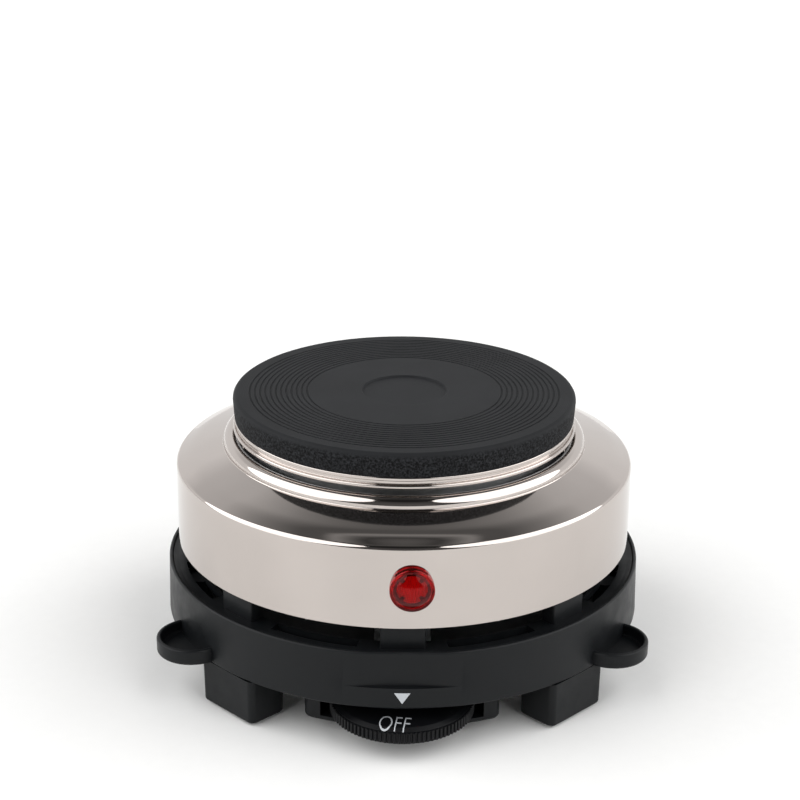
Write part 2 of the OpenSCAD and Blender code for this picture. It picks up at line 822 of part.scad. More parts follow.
module bottom_cover() {
  row_pitch = slot_l + 6;
  slot_pitch = 2 * slot_w + 3;
  color("#1f2225") difference() {
    union() {
      // Floor, with the feet under its edge
      translate([0, 0, z_cover]) cylinder(r = cover_r, h = cover_t, $fn = 180);
      at_feet() foot();
      // Housing round the dial
      translate([0, 0, z_housing]) difference() {
        linear_extrude(height = housing_h + eps) housing_outline(0);
        translate([0, 0, housing_wall]) linear_extrude(height = housing_h + 1) housing_outline(housing_wall);
        // Mouth that the dial stands out of
        translate([-mouth_half_w, -housing_r - 1, housing_wall])
          cube([2 * mouth_half_w, housing_r + 1 - dial_y + 4, housing_h + 1]);
      }
      // Posts for the cord clamp
      for (s = [-1, 1]) translate([s * clamp_x, clamp_y, 0]) drill(screw_post_r, z_floor - eps, gland_z + cord_r - z_floor);
    }
    // Recess for each pad
    at_feet() translate([0, -foot_face + foot_depth / 2, 0]) drill(pad_d / 2 + eps, -1, pad_t + 1);
    // Air slots in the floor
    for (row = [0, 1], i = [0 : slot_count - 1])
      translate([(i - (slot_count - 1) / 2) * slot_pitch - slot_w / 2, -slot_l + row * row_pitch, z_cover - 1])
        cube([slot_w, slot_l, cover_t + 2]);
    // Room for the bushing, and screw holes
    translate(dial_axis) drill(bushing_r + play, z_cover, cover_t);
    for (s = [-1, 1]) translate(dial_axis + [s * ear_screw_x, 0, 0]) drill(screw_r + hole_fit, z_cover, cover_t);
    at_cover_screws() drill(screw_r + hole_fit, z_cover, cover_t);
    for (s = [-1, 1]) translate([s * clamp_x, clamp_y, 0]) drill(screw_r + eps, z_floor + 1, gland_z + cord_r - z_floor);
  }
}

module cover_screws() {
  color("#aeb0b3") at_cover_screws() screw_up(z_cover, z_flange_under - 2 - z_cover);
}

module foot_pads() {
  color("#3a3a3a") at_feet()
    translate([0, -foot_face + foot_depth / 2, 0]) cylinder(r = pad_d / 2, h = pad_t, $fn = 48);
}

// ---- dial ----

// Outline of the ribbed edge, four points to a rib
function rib_point(i) =
  let (turn = 360 / rib_count * (floor(i / 4) + [0, 0.2, 0.5, 0.7][i % 4]),
       r = (i % 4 == 0 || i % 4 == 3) ? dial_root_r : dial_r)
  [r * cos(turn), r * sin(turn)];

module control_dial() {
  rim_z = 0.4;
  band_h = dial_h - bevel_h - rim_z;
  color("#17191b") translate(dial_axis) difference() {
    union() {
      rotate_extrude() polygon([
        [0, z_dial], [dial_root_r - rim_z, z_dial], [dial_root_r, z_dial + rim_z],
        [dial_root_r, z_dial_top - bevel_h], [dial_root_r - bevel_w, z_dial_top], [0, z_dial_top]
      ]);
      translate([0, 0, z_dial + rim_z]) linear_extrude(height = band_h)
        polygon([for (i = [0 : 4 * rib_count - 1]) rib_point(i)]);
      translate([0, 0, z_dial_top - eps]) cylinder(r = hub_r, h = z_seat - play * 2 - z_dial_top);
    }
    // Blind hole pressed onto the spindle
    translate([0, 0, spindle_z]) cylinder(r = spindle_r, h = z_seat - spindle_z, $fn = 48);
  }
}

module dial_spindle() {
  color("#c7c2b4") translate(dial_axis) difference() {
    translate([0, 0, spindle_z + eps]) cylinder(r = spindle_r, h = spindle_top - spindle_z, $fn = 48);
    // Socket in which the adjusting screw rides up and down
    translate([0, 0, adjuster_z - adjuster_travel - play])
      cylinder(r = adjuster_r + run_fit, h = spindle_top - adjuster_z + adjuster_travel + 1, $fn = 48);
  }
}

module spindle_bushing() {
  color("#c9a548") translate(dial_axis) difference() {
    union() {
      translate([0, 0, bushing_z]) cylinder(r = bushing_r, h = z_frame_top - bushing_z, $fn = 48);
      translate([0, 0, z_frame_top]) cylinder(r = bushing_r + 1.2, h = 1.6, $fn = 48);
    }
    translate([0, 0, bushing_z - 1]) cylinder(r = spindle_r + run_fit, h = 20, $fn = 48);
  }
}

module adjusting_screw() {
  color("#d8b65a") translate(dial_axis)
    translate([0, 0, adjuster_z]) cylinder(r = adjuster_r, h = adjuster_top - adjuster_z, $fn = 48);
}

// ---- thermostat ----

module thermostat_frame() {
  bridge_l = 9;
  color("#b0b2b5") difference() {
    union() {
      translate([-frame_w / 2, frame_front, z_frame + eps]) cube([frame_w, stack_y - frame_front, frame_t - eps]);
      translate([-ear_screw_x - 4, -dial_y - 4, z_frame + eps]) cube([2 * ear_screw_x + 8, 8, frame_t - eps]);
      // Bridge over the spindle
      for (s = [-1, 1])
        translate([s > 0 ? frame_w / 2 - frame_t : -frame_w / 2, -dial_y - bridge_l / 2, z_frame + eps])
          cube([frame_t, bridge_l, bridge_z + frame_t - z_frame - eps]);
      translate([-frame_w / 2, -dial_y - bridge_l / 2, bridge_z]) cube([frame_w, bridge_l, frame_t]);
    }
    translate(dial_axis) drill(bushing_r + eps, z_frame, frame_t);
    translate(dial_axis) drill(adjuster_r + run_fit, bridge_z, frame_t);
    for (s = [-1, 1]) translate(dial_axis + [s * ear_screw_x, 0, 0]) drill(screw_r + eps, z_frame, frame_t);
    translate([0, rivet_y, 0]) drill(rivet_r + eps, z_frame, frame_t);
  }
}

module thermostat_screws() {
  color("#aeb0b3") for (s = [-1, 1])
    translate(dial_axis + [s * ear_screw_x, 0, 0]) screw_up(z_cover, cover_t + frame_t + 1.5);
}

// Ceramic spacer between z0 and z1
module spacer(z0, z1) {
  difference() {
    translate([-stack_w / 2, arm_y, z0]) cube([stack_w, stack_l, z1 - z0]);
    translate([0, rivet_y, 0]) drill(rivet_r + eps, z0, z1 - z0);
  }
}

module ceramic_stack() {
  color("#ece8dc") {
    spacer(z_frame_top, fixed_z);
    spacer(fixed_z + blade_t, arm_z);
    spacer(arm_z + blade_t, bimetal_z);
    spacer(bimetal_z + bimetal_t, stack_top);
  }
}

module stack_rivet() {
  color("#b9bbbd") translate([0, rivet_y, 0]) {
    translate([0, 0, z_frame + 2 * eps]) cylinder(r = rivet_r, h = stack_top - z_frame - eps, $fn = 32);
    translate([0, 0, stack_top]) cylinder(r = rivet_r + 1.2, h = 1, $fn = 32);
  }
}

// Flat blade from y0 to y1 at height z, with the rivet's hole
module blade(y0, y1, z, t, w) {
  difference() {
    translate([-w / 2, y0, z]) cube([w, y1 - y0, t]);
    translate([0, rivet_y, 0]) drill(rivet_r + eps, z, t);
  }
}

module fixed_blade() {
  color("#cf9b62") blade(contact_y - 2.5, fixed_tail_y, fixed_z, blade_t, blade_w);
}

module fixed_contact() {
  color("#dfe1e3") translate([0, contact_y, fixed_z + blade_t]) cylinder(r = contact_r, h = contact_h, $fn = 32);
}

// Bar along X on the arm's hinge axis
module hinge_bar(r, length) {
  translate([-length / 2, hinge_y, arm_z + blade_t / 2]) rotate([0, 90, 0]) cylinder(r = r, h = length, $fn = 48);
}

module blade_tail() {
  color("#cf9b62") {
    blade(arm_y, tail_y, arm_z, blade_t, blade_w);
    // Cheeks on both sides of the arm's eye, with the pin between them
    for (s = [-1, 1]) translate([s > 0 ? blade_w / 2 - cheek_w : -blade_w / 2, hinge_y, arm_z])
      cube([cheek_w, arm_y - hinge_y + eps, blade_t]);
    hinge_bar(eye_pin_r, blade_w - eps);
  }
}

module contact_arm() {
  neck_w = blade_w - 2 * (cheek_w + play);
  plate_l = arm_len + 3.2 - eye_r - play;
  color("#cf9b62") difference() {
    union() {
      translate([-blade_w / 2, hinge_y - arm_len - 3.2, arm_z]) cube([blade_w, plate_l, blade_t]);
      translate([-neck_w / 2, hinge_y - eye_r - play - eps, arm_z]) cube([neck_w, eye_r + play, blade_t]);
      hinge_bar(eye_r, neck_w);
    }
    hinge_bar(eye_pin_r + run_fit, blade_w);
  }
}

module moving_contact() {
  color("#dfe1e3") translate([0, contact_y, arm_z - contact_h]) cylinder(r = contact_r, h = contact_h, $fn = 32);
}

module push_pin() {
  color("#f3f0e8") translate([0, -dial_y, push_z]) cylinder(r = push_r, h = push_len, $fn = 32);
}

module bimetal_blade() {
  button_h = bimetal_z - arm_z - blade_t - 0.8;
  color("#8f8a80") union() {
    blade(hinge_y - arm_len * 0.8, stack_y, bimetal_z, bimetal_t, blade_w + 1);
    translate([0, hinge_y - arm_len * 0.6, bimetal_z - button_h]) cylinder(r = push_r, h = button_h + eps, $fn = 32);
  }
}

// ---- wiring ----

module terminal_block() {
  color("#efece4") difference() {
    translate([-block_l / 2, block_y, block_z + eps]) cube([block_l, block_w, block_h]);
    for (x = [-wire_x, 0, wire_x]) {
      translate([x, block_y + block_w / 2 + 1.5, wire_z]) rotate([-90, 0, 0]) cylinder(r = 2, h = block_w, $fn = 32);
      translate([x, block_y + block_w / 2, 0]) drill(screw_r + eps, wire_z + 1, block_h);
    }
  }
}

module terminal_screws() {
  color("#c9a548") for (x = [-wire_x, 0, wire_x]) translate([x, block_y + block_w / 2, 0]) {
    drill(screw_r, wire_z + 1.2, block_z + block_h - wire_z - 1.2);
    difference() {
      translate([0, 0, block_z + block_h + 2 * eps]) cylinder(r = screw_r + 0.9, h = 1.1, $fn = 32);
      translate([-3, -0.3, block_z + block_h + 0.6]) cube([6, 0.6, 2]);
    }
  }
}

module live_lead() {
  color("#7a4a2c") wire([
    [-wire_x, block_y, wire_z], [-wire_x, block_y - 6, wire_z], [-14, 4, z_floor + 5],
    [0, fixed_tail_y + 4, fixed_z + blade_t / 2], [0, fixed_tail_y, fixed_z + blade_t / 2]
  ], lead_r);
}

module switched_lead() {
  color("#2c2c2e") wire([
    [0, tail_y, arm_z + blade_t / 2], [0, tail_y + 4, arm_z + blade_t / 2 + 1], [-9, -4, z_drum + 1],
    [-pin_pitch / 2 - 4, pin_y - 8, z_drum + 5], [-pin_pitch / 2, pin_y, z_pin - 3], [-pin_pitch / 2, pin_y, z_pin - eps]
  ], lead_r);
}

// Place of the thermal fuse, upright beside the block
fuse_xy = [wire_x, block_y - 12];

module neutral_lead() {
  color("#2f4f7d") {
    wire([
      [wire_x, block_y, wire_z], [wire_x, fuse_xy[1], wire_z], [fuse_xy[0], fuse_xy[1], fuse_z]
    ], lead_r);
    wire([
      [fuse_xy[0], fuse_xy[1], fuse_z + fuse_l], [fuse_xy[0], fuse_xy[1], fuse_z + fuse_l + 2.5],
      [pin_pitch / 2, pin_y, z_pin - 3], [pin_pitch / 2, pin_y, z_pin - eps]
    ], lead_r);
  }
}

module thermal_fuse() {
  color("#d9d4c6") translate([fuse_xy[0], fuse_xy[1], fuse_z + eps])
    cylinder(r = fuse_r, h = fuse_l - 2 * eps, $fn = 32);
}

// The earth wire ends on a tag under the drum screw at the back right
tag_az = 135;
tag_xy = [drum_screw_r * sin(tag_az), -drum_screw_r * cos(tag_az)];

module earth_lead() {
  end_xy = tag_xy * (1 - (tag_r + 2) / drum_screw_r);
  color("#5a8f3c") wire([
    [0, block_y, wire_z], [0, block_y - 6, wire_z], [14, block_y - 6, z_flange],
    [end_xy[0] - 5, end_xy[1] - 5, z_drum + sheet_t + 1.6], [end_xy[0], end_xy[1], z_drum + sheet_t + lead_r + 0.1]
  ], lead_r);
}

module earth_tag() {
  color("#c9a548") difference() {
    translate([tag_xy[0], tag_xy[1], z_drum + sheet_t + eps]) cylinder(r = tag_r, h = tag_t, $fn = 48);
    translate([tag_xy[0], tag_xy[1], 0]) drill(screw_r + eps, z_drum, sheet_t + tag_t + 1);
    translate([0, 0, z_drum]) ring(drum_r - sheet_t - play, drum_r + 5, -1, 10);
  }
}

// ---- cord entry ----

module cord_gland() {
  in_y = base_in_r - 3.4;
  out_y = base_r + 0.05;

  color("#202224") translate([0, 0, gland_z]) rotate([-90, 0, 0]) difference() {
    union() {
      translate([0, 0, in_y]) cylinder(r = gland_r, h = out_y - in_y + eps, $fn = 48);
      translate([0, 0, in_y]) cylinder(r = gland_r + 0.5, h = 1.6, $fn = 48);
      translate([0, 0, out_y]) cylinder(r = gland_flange_r, h = gland_flange_t, $fn = 64);
      translate([0, 0, out_y + gland_flange_t]) cylinder(r1 = gland_flange_r - 1, r2 = gland_r + 0.3, h = gland_out - out_y - gland_flange_t, $fn = 64);
    }
    translate([0, 0, in_y - 1]) cylinder(r = cord_r, h = 20, $fn = 48);
  }
}

module cord_clamp() {
  z = gland_z + cord_r;
  color("#26292c") difference() {
    translate([-clamp_x - 4, clamp_y - 3.5, z + eps]) cube([2 * clamp_x + 8, 7, clamp_h]);
    translate([0, clamp_y - 4, gland_z + 0.4]) rotate([-90, 0, 0]) cylinder(r = cord_r, h = 8, $fn = 48);
    for (s = [-1, 1]) translate([s * clamp_x, clamp_y, 0]) drill(screw_r + hole_fit, z, clamp_h);
  }
}

module clamp_screws() {
  z = gland_z + cord_r + clamp_h + 2 * eps;
  color("#aeb0b3") for (s = [-1, 1])
    translate([s * clamp_x, clamp_y, z]) mirror([0, 0, 1]) screw_up(0, clamp_h + 4);
}

hot_plate();
insulating_cement();
heating_coil();
heater_pins();
pin_beads();
insulating_board();
trim_ring();
support_pan();
stud_spacer();
centre_stud();
clamp_bar();
stud_washer();
stud_nut();
heat_shield();
shield_nut();
top_cover();
lamp_lens();
lamp_body();
lamp_clip();
neon_bulb();
lamp_leads();
base_ring();
drum_screws();
bottom_cover();
cover_screws();
foot_pads();
control_dial();
dial_spindle();
spindle_bushing();
adjusting_screw();
thermostat_frame();
thermostat_screws();
ceramic_stack();
stack_rivet();
fixed_blade();
fixed_contact();
blade_tail();
contact_arm();
moving_contact();
push_pin();
bimetal_blade();
terminal_block();
terminal_screws();
live_lead();
switched_lead();
neutral_lead();
earth_lead();
earth_tag();
thermal_fuse();
cord_gland();
cord_clamp();
clamp_screws();
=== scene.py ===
"""Single hot plate burner: its visible pieces and finishes, built round the CAD frame."""

import json
import math

import bmesh
import bpy
from bpy.props import FloatProperty, FloatVectorProperty, IntProperty, PointerProperty
from mathutils import Matrix, Vector, noise


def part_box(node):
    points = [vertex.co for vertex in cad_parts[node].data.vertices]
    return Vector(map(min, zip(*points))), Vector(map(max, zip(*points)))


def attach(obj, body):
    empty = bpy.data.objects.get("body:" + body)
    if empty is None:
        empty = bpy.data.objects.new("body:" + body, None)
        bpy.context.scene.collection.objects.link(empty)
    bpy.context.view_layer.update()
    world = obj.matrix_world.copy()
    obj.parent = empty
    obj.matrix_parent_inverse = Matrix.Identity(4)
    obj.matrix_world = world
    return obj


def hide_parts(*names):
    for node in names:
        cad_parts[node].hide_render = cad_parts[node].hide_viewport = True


bl_info = {
    "name": "Hot plate burner",
    "version": (1, 0, 0),
    "blender": (4, 5, 0),
    "location": "3D View > Sidebar > Burner",
    "description": "Builds the visible pieces of a single hot plate burner round its CAD frame",
    "category": "Object",
}

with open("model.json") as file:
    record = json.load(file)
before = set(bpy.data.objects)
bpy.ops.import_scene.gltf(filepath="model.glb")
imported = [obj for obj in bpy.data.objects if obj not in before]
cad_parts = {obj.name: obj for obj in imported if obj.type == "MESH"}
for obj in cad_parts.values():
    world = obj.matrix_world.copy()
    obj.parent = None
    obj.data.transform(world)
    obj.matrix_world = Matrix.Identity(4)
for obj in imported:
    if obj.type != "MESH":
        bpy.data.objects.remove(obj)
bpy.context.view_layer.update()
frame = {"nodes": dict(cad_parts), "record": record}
MM = 0.001


def box_mm(node):
    """Lowest and highest corner of a CAD node, in millimetres."""
    low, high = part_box(node)
    return low / MM, high / MM


# Levels above the table and radii from the axis, in millimetres: read from the CAD nodes, and the
# part's own sizes where no node's box gives them
PLATE_LOW, PLATE_HIGH = box_mm("hot_plate")
TRIM_LOW, TRIM_HIGH = box_mm("trim_ring")
DRUM_LOW, DRUM_HIGH = box_mm("top_cover")
DIAL_LOW, DIAL_HIGH = box_mm("control_dial")
PLATE_R = PLATE_HIGH.x
DRUM_R = DRUM_HIGH.x
DIAL_R = DIAL_HIGH.x
DIAL_Y = (DIAL_LOW.y + DIAL_HIGH.y) / 2
DIAL_TOP = DIAL_LOW.z + 4.4
DIAL_ROOT_R = DIAL_R - 0.5
# Width and fall of the dial's sloping rim
DIAL_SLOPE_W, DIAL_SLOPE_H = 1.5, 0.8
BASE_Z = box_mm("base_ring")[0].z
BASE_R = 69.7
BASE_TOP_R = 69.3
BASE_IN_R = 67
RIM_Z = BASE_Z + 16.2
FLANGE_Z = RIM_Z - 0.9
FLANGE_LOW = FLANGE_Z - 2
FLANGE_R = 60
SHEET = 0.6
TAB_R = DRUM_R - 1.7
POST_TURNS = [math.radians(a) for a in (45, 135, 225, 315)]
SCREW_R = 61.6
SCREW_TURNS = [math.radians(a) for a in (72, 108, 252, 288)]
SEAT_Z = BASE_Z - 0.2
COVER_Z = SEAT_Z - 0.4
COVER_TOP = COVER_Z + 2.4
HOUSING_Z = COVER_Z - 9.6
FOOT_Z = 0.5
LAMP_Z = DRUM_LOW.z + 11.9
LAMP_TURN = math.radians(2)
GLAND_Z = (COVER_TOP + FLANGE_LOW) / 2


def linear(code):
    """Linear colour of an sRGB hex value."""
    parts = [int(code[i:i + 2], 16) / 255 for i in (1, 3, 5)]
    return [c / 12.92 if c <= 0.04045 else ((c + 0.055) / 1.055) ** 2.4 for c in parts]


def length(name, description, default):
    """A size property given in millimetres and held in metres."""
    return FloatProperty(name=name, description=description, default=default * MM,
                         unit="LENGTH", subtype="DISTANCE")


def angle(name, description, degrees):
    """An angle property given in degrees and held in radians."""
    return FloatProperty(name=name, description=description, default=math.radians(degrees), subtype="ANGLE")


def colour(name, description, code):
    """A colour property given as an sRGB hex value."""
    return FloatVectorProperty(
        name=name, description=description, default=linear(code), subtype="COLOR", size=3, min=0, max=1)


class BurnerSizes(bpy.types.PropertyGroup):
    """Sizes of the visible pieces."""

    plate_edge: length("Plate edge", "Rounding of the plate's top edge", 1.4)
    groove_count: IntProperty(
        name="Grooves", description="Number of turned grooves in the plate", default=12, min=1)
    groove_pitch: length("Groove pitch", "Distance between the turned grooves", 1.5)
    groove_depth: length("Groove depth", "Depth of the turned grooves", 0.3)
    cast_grain: length("Cast grain", "Height of the grain on the plate's cast side", 0.05)
    bead: length("Bead", "Half width of the bead round the drum's opening", 2.5)
    shoulder: angle("Shoulder", "Slope of the drum's shoulder", 20)
    lens: length("Lens", "Radius of the pilot lamp's lens", 6.0)
    lens_dome: length("Lens dome", "Height of the lens over its flange", 1.8)
    lens_ribs: length("Lens ribs", "Distance between the ribs behind the lens", 0.65)
    base_round: length("Base rounding", "Rounding of the base moulding's edges", 0.5)
    rib_count: IntProperty(name="Dial ribs", description="Number of ribs round the dial", default=96, min=12)
    word_width: length("Word width", "Width of the word on the dial", 8.3)
    word_height: length("Word height", "Height of the word on the dial", 6.6)
    pointer: length("Pointer", "Width of the pointer on the base", 4.3)


class BurnerColours(bpy.types.PropertyGroup):
    """Colours of the finishes."""

    iron: colour("Iron", "Blacked face of the cast plate", "#202123")
    steel: colour("Steel", "Polished stainless steel", "#c2bab5")
    base: colour("Base", "Moulded base", "#111315")
    dial: colour("Dial", "Moulded dial", "#0c0d0f")
    lens: colour("Lens", "Pilot lamp lens", "#d0101a")
    marks: colour("Marks", "Printed marks", "#b9bdc1")


class BurnerStage(bpy.types.PropertyGroup):
    """Floor, lights and camera."""

    floor: colour("Floor", "Pale studio floor", "#f4f4f3")
    room: FloatProperty(
        name="Room", description="Strength of the light from the studio's walls", default=1, min=0)
    soft: FloatProperty(name="Soft lights", description="Strength of each soft light", default=2.8, min=0)
    soft_angle: angle("Soft light size", "How wide each soft light looks", 80)
    camera_distance: length("Camera distance", "From the camera to the burner", 530.4)
    camera_pitch: angle("Camera pitch", "How far the camera looks down", 20.59)
    camera_roll: angle("Camera roll", "Roll of the camera", 0.48)
    camera_lens: FloatProperty(
        name="Camera lens", description="Focal length in millimetres", default=82.2, min=1)


# ---- mesh code ----


def at(r, turn):
    """Place in plan at a radius and a turn from the front."""
    return r * math.sin(turn), -r * math.cos(turn)


def rounded(corners, steps=5):
    """Outline through corners (x, y) or (x, y, radius), each rounded to its radius.
    A close point on both sides of each round keeps the shading flat beside it."""
    points = []
    count = len(corners)
    most = 0.46  # share of a side that one round may take
    for i, corner in enumerate(corners):
        here = Vector(corner[:2])
        if len(corner) < 3:
            points.append(here)
            continue
        back = Vector(corners[i - 1][:2]) - here
        on = Vector(corners[(i + 1) % count][:2]) - here
        half = back.angle(on) / 2
        cut = min(corner[2] / math.tan(half), back.length * most, on.length * most)
        radius = cut * math.tan(half)
        back.normalize()
        on.normalize()
        centre = here + (back + on).normalized() * (radius / math.sin(half))
        start, end = here + back * cut, here + on * cut
        spoke_a, spoke_b = start - centre, end - centre
        total = spoke_a.angle(spoke_b)
        guard = min(cut * 0.08, 0.06)
        points.append(start + back * guard)
        for k in range(steps + 1):
            t = k / steps
            mix = spoke_a * math.sin((1 - t) * total) + spoke_b * math.sin(t * total)
            points.append(centre + mix / math.sin(total))
        points.append(end + on * guard)
    return points


def skin(rows, around=False, caps=False):
    """Bmesh of faces between rows of points in millimetres.
    Each row closes on itself, and a row of one point is a pole."""
    bm = bmesh.new()
    made = [[bm.verts.new([c * MM for c in point]) for point in row] for row in rows]
    pairs = list(zip(made, made[1:]))
    if around:
        pairs.append((made[-1], made[0]))
    for low, high in pairs:
        for k in range(max(len(low), len(high))):
            ring = [low[k % len(low)], low[(k + 1) % len(low)],
                    high[(k + 1) % len(high)], high[k % len(high)]]
            bm.faces.new(list(dict.fromkeys(ring)))
    if caps:
        bm.faces.new(made[0])
        bm.faces.new(made[-1])
    bmesh.ops.recalc_face_normals(bm, faces=bm.faces)
    return bm


def lathe(points, steps, bend=None):
    """Bmesh turned round Z from (radius, height) points.
    bend(turn, radius, height) may change a point; turn 0 is the front."""
    rows = []
    for r, z in points:
        if r < 1e-6:
            rows.append([(0, 0, z)])
            continue
        row = []
        for k in range(steps):
            turn = 2 * math.pi * k / steps
            radius, height = bend(turn, r, z) if bend else (r, z)
            row.append((*at(radius, turn), height))
        rows.append(row)
    return skin(rows, around=len(rows[0]) > 1)


def pillar(outline, levels):
    """Bmesh of an upright solid. outline(inset) gives its points, and levels are (height, inset)."""
    return skin([[(x, y, z) for x, y in outline(inset)] for z, inset in levels], caps=True)


def round_foot(z, radius, steps=5):
    """Levels of a rounded lower edge for pillar()."""
    quarter = [math.pi / 2 * k / steps for k in range(steps + 1)]
    return [(z + radius * (1 - math.cos(a)), radius * (1 - math.sin(a))) for a in quarter]


def sector(r_in, r_out, z_low, z_high, start, end, steps=12):
    """Bmesh of a part of a ring between two turns, in radians."""
    rows = []
    for k in range(steps + 1):
        turn = start + (end - start) * k / steps
        rows.append([(*at(r, turn), z) for r, z in
                     ((r_in, z_low), (r_out, z_low), (r_out, z_high), (r_in, z_high))])
    return skin(rows, caps=True)


def brick(x, y, z, edge=0.0):
    """Bmesh of a block between pairs of millimetres, with its edges rounded."""
    rows = [[(x[0], y[0], h), (x[1], y[0], h), (x[1], y[1], h), (x[0], y[1], h)] for h in z]
    bm = skin(rows, caps=True)
    if edge:
        bmesh.ops.bevel(bm, geom=bm.edges[:], offset=edge * MM, segments=3, profile=0.5, affect="EDGES",
                        clamp_overlap=True)
    return bm


def rod(radius, start, end, steps=48):
    """Bmesh of a plain round bar between two points, for holes and posts."""
    start, end = Vector(start), Vector(end)
    aim = (end - start).to_track_quat("Z", "Y")
    turns = [2 * math.pi * k / steps for k in range(steps)]
    spokes = [aim @ Vector((radius * math.cos(t), radius * math.sin(t), 0)) for t in turns]
    return skin([[centre + spoke for spoke in spokes] for centre in (start, end)], caps=True)


def turned(bm, turn, shift=(0, 0, 0)):
    """The bmesh moved by shift, in millimetres, and then turned round Z."""
    bm.transform(Matrix.Rotation(turn, 4, "Z") @ Matrix.Translation(Vector(shift) * MM))
    return bm


def stand_in(bm):
    """A short-lived object for the boolean solver."""
    mesh = bpy.data.meshes.new("stand_in")
    bm.to_mesh(mesh)
    bm.free()
    obj = bpy.data.objects.new("stand_in", mesh)
    bpy.context.scene.collection.objects.link(obj)
    return obj


def join(parts):
    """One bmesh that holds all the parts as they are."""
    whole = bmesh.new()
    for part in parts:
        mesh = bpy.data.meshes.new("part")
        part.to_mesh(mesh)
        part.free()
        whole.from_mesh(mesh)
        bpy.data.meshes.remove(mesh)
    return whole


def in_order(bm):
    """The same bmesh with its points and faces in order of place.
    An extrusion keeps its shape but not its order from run to run."""
    loops = sorted(([tuple(v.co) for v in face.verts] for face in bm.faces), key=sorted)
    fresh = bmesh.new()
    made = {spot: fresh.verts.new(spot) for spot in sorted({spot for loop in loops for spot in loop})}
    for loop in loops:
        fresh.faces.new([made[spot] for spot in loop])
    bm.free()
    return fresh


def combine(bm, tools, operation):
    """The bmesh with each tool added to it or cut from it by the exact solver."""
    whole = stand_in(bm)
    others = [stand_in(tool) for tool in tools]
    for other in others:
        step = whole.modifiers.new("step", "BOOLEAN")
        step.operation, step.solver, step.object = operation, "EXACT", other
    graph = bpy.context.evaluated_depsgraph_get()
    made = bmesh.new()
    made.from_mesh(whole.evaluated_get(graph).to_mesh())
    for obj in [whole, *others]:
        mesh = obj.data
        bpy.data.objects.remove(obj)
        bpy.data.meshes.remove(mesh)
    bmesh.ops.remove_doubles(made, verts=made.verts, dist=1e-6)
    bmesh.ops.dissolve_degenerate(made, edges=made.edges, dist=1e-6)
    return made


def add_piece(name, bm, finish, body="burner", nodes=(), crease=32):
    """Makes the object in its finish, smooth up to the crease angle, and puts it on its CAD body."""
    if not bm.faces:
        raise RuntimeError(f"{name} came out empty")
    mesh = bpy.data.meshes.new(name)
    bm.to_mesh(mesh)
    bm.free()
    mesh.shade_smooth()
    mesh.set_sharp_from_angle(angle=math.radians(crease))
    mesh.materials.append(finish_of(finish))
    obj = bpy.data.objects.new(name, mesh)
    bpy.context.scene.collection.objects.link(obj)
    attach(obj, body)
    if nodes:
        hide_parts(*nodes)
    return obj


# ---- finishes ----


def link(tree, node, links):
    """Links the node's inputs from (node, output) pairs."""
    for key, (source, output) in links.items():
        tree.links.new(source.outputs[output], node.inputs[key])


def add(tree, kind, settings=None, links=None):
    """Adds a node, sets its values by input, by attribute or as (place, colour) stops, and links it."""
    node = tree.nodes.new(kind)
    for key, value in (settings or {}).items():
        if key == "stops":
            while len(node.color_ramp.elements) < len(value):
                node.color_ramp.elements.new(0.5)
            for element, (where, tone) in zip(node.color_ramp.elements, value):
                element.position, element.color = where, tone
        elif isinstance(key, int) or key in node.inputs:
            node.inputs[key].default_value = value
        else:
            setattr(node, key, value)
    link(tree, node, links or {})
    return node


def start(name, tint, metallic, roughness, ior=1.5, **more):
    """A new material: its node tree, its shader and a link from the object coordinates in metres."""
    material = bpy.data.materials.new(name)
    material.use_nodes = True
    tree = material.node_tree
    shader = tree.nodes["Principled BSDF"]
    values = {"Base Color": (*tint, 1), "Metallic": metallic, "Roughness": roughness, "IOR": ior, **more}
    for key, value in values.items():
        shader.inputs[key].default_value = value
    return material, tree, shader, {"Vector": (add(tree, "ShaderNodeTexCoord"), "Object")}


def per_mm(size):
    """Texture scale that makes a feature of this size in millimetres."""
    return 1 / (size * MM)


def shade(tint, factor):
    """The colour made lighter or darker."""
    return [min(1, c * factor) for c in tint] + [1]


def grained(name, tint, metallic, roughness, grain, contrast=0.15, bump=0.15, relief=0.03, ior=1.5, **more):
    """A plain material with its grain: colour, gloss and relief vary over a grain size in millimetres."""
    material, tree, shader, place = start(name, tint, metallic, roughness, ior, **more)
    fine = add(tree, "ShaderNodeTexNoise", {"Scale": per_mm(grain), "Detail": 4, "Roughness": 0.6}, place)
    broad = add(tree, "ShaderNodeTexNoise", {"Scale": per_mm(grain * 18), "Detail": 2}, place)
    both = add(tree, "ShaderNodeMath", {"operation": "MULTIPLY"}, {0: (fine, "Fac"), 1: (broad, "Fac")})
    stops = [(0.12, shade(tint, 1 - contrast)), (0.42, shade(tint, 1 + contrast))]
    tones = add(tree, "ShaderNodeValToRGB", {"stops": stops}, {"Fac": (both, 0)})
    gloss = add(tree, "ShaderNodeMapRange",
                {"From Min": 0.3, "From Max": 0.7, "To Min": roughness * 0.85,
                 "To Max": min(1, roughness * 1.15)}, {"Value": (broad, "Fac")})
    rise = add(tree, "ShaderNodeBump", {"Strength": bump, "Distance": relief * MM}, {"Height": (fine, "Fac")})
    link(tree, shader, {"Base Color": (tones, "Color"), "Roughness": (gloss, "Result"),
                        "Normal": (rise, "Normal")})
    return material


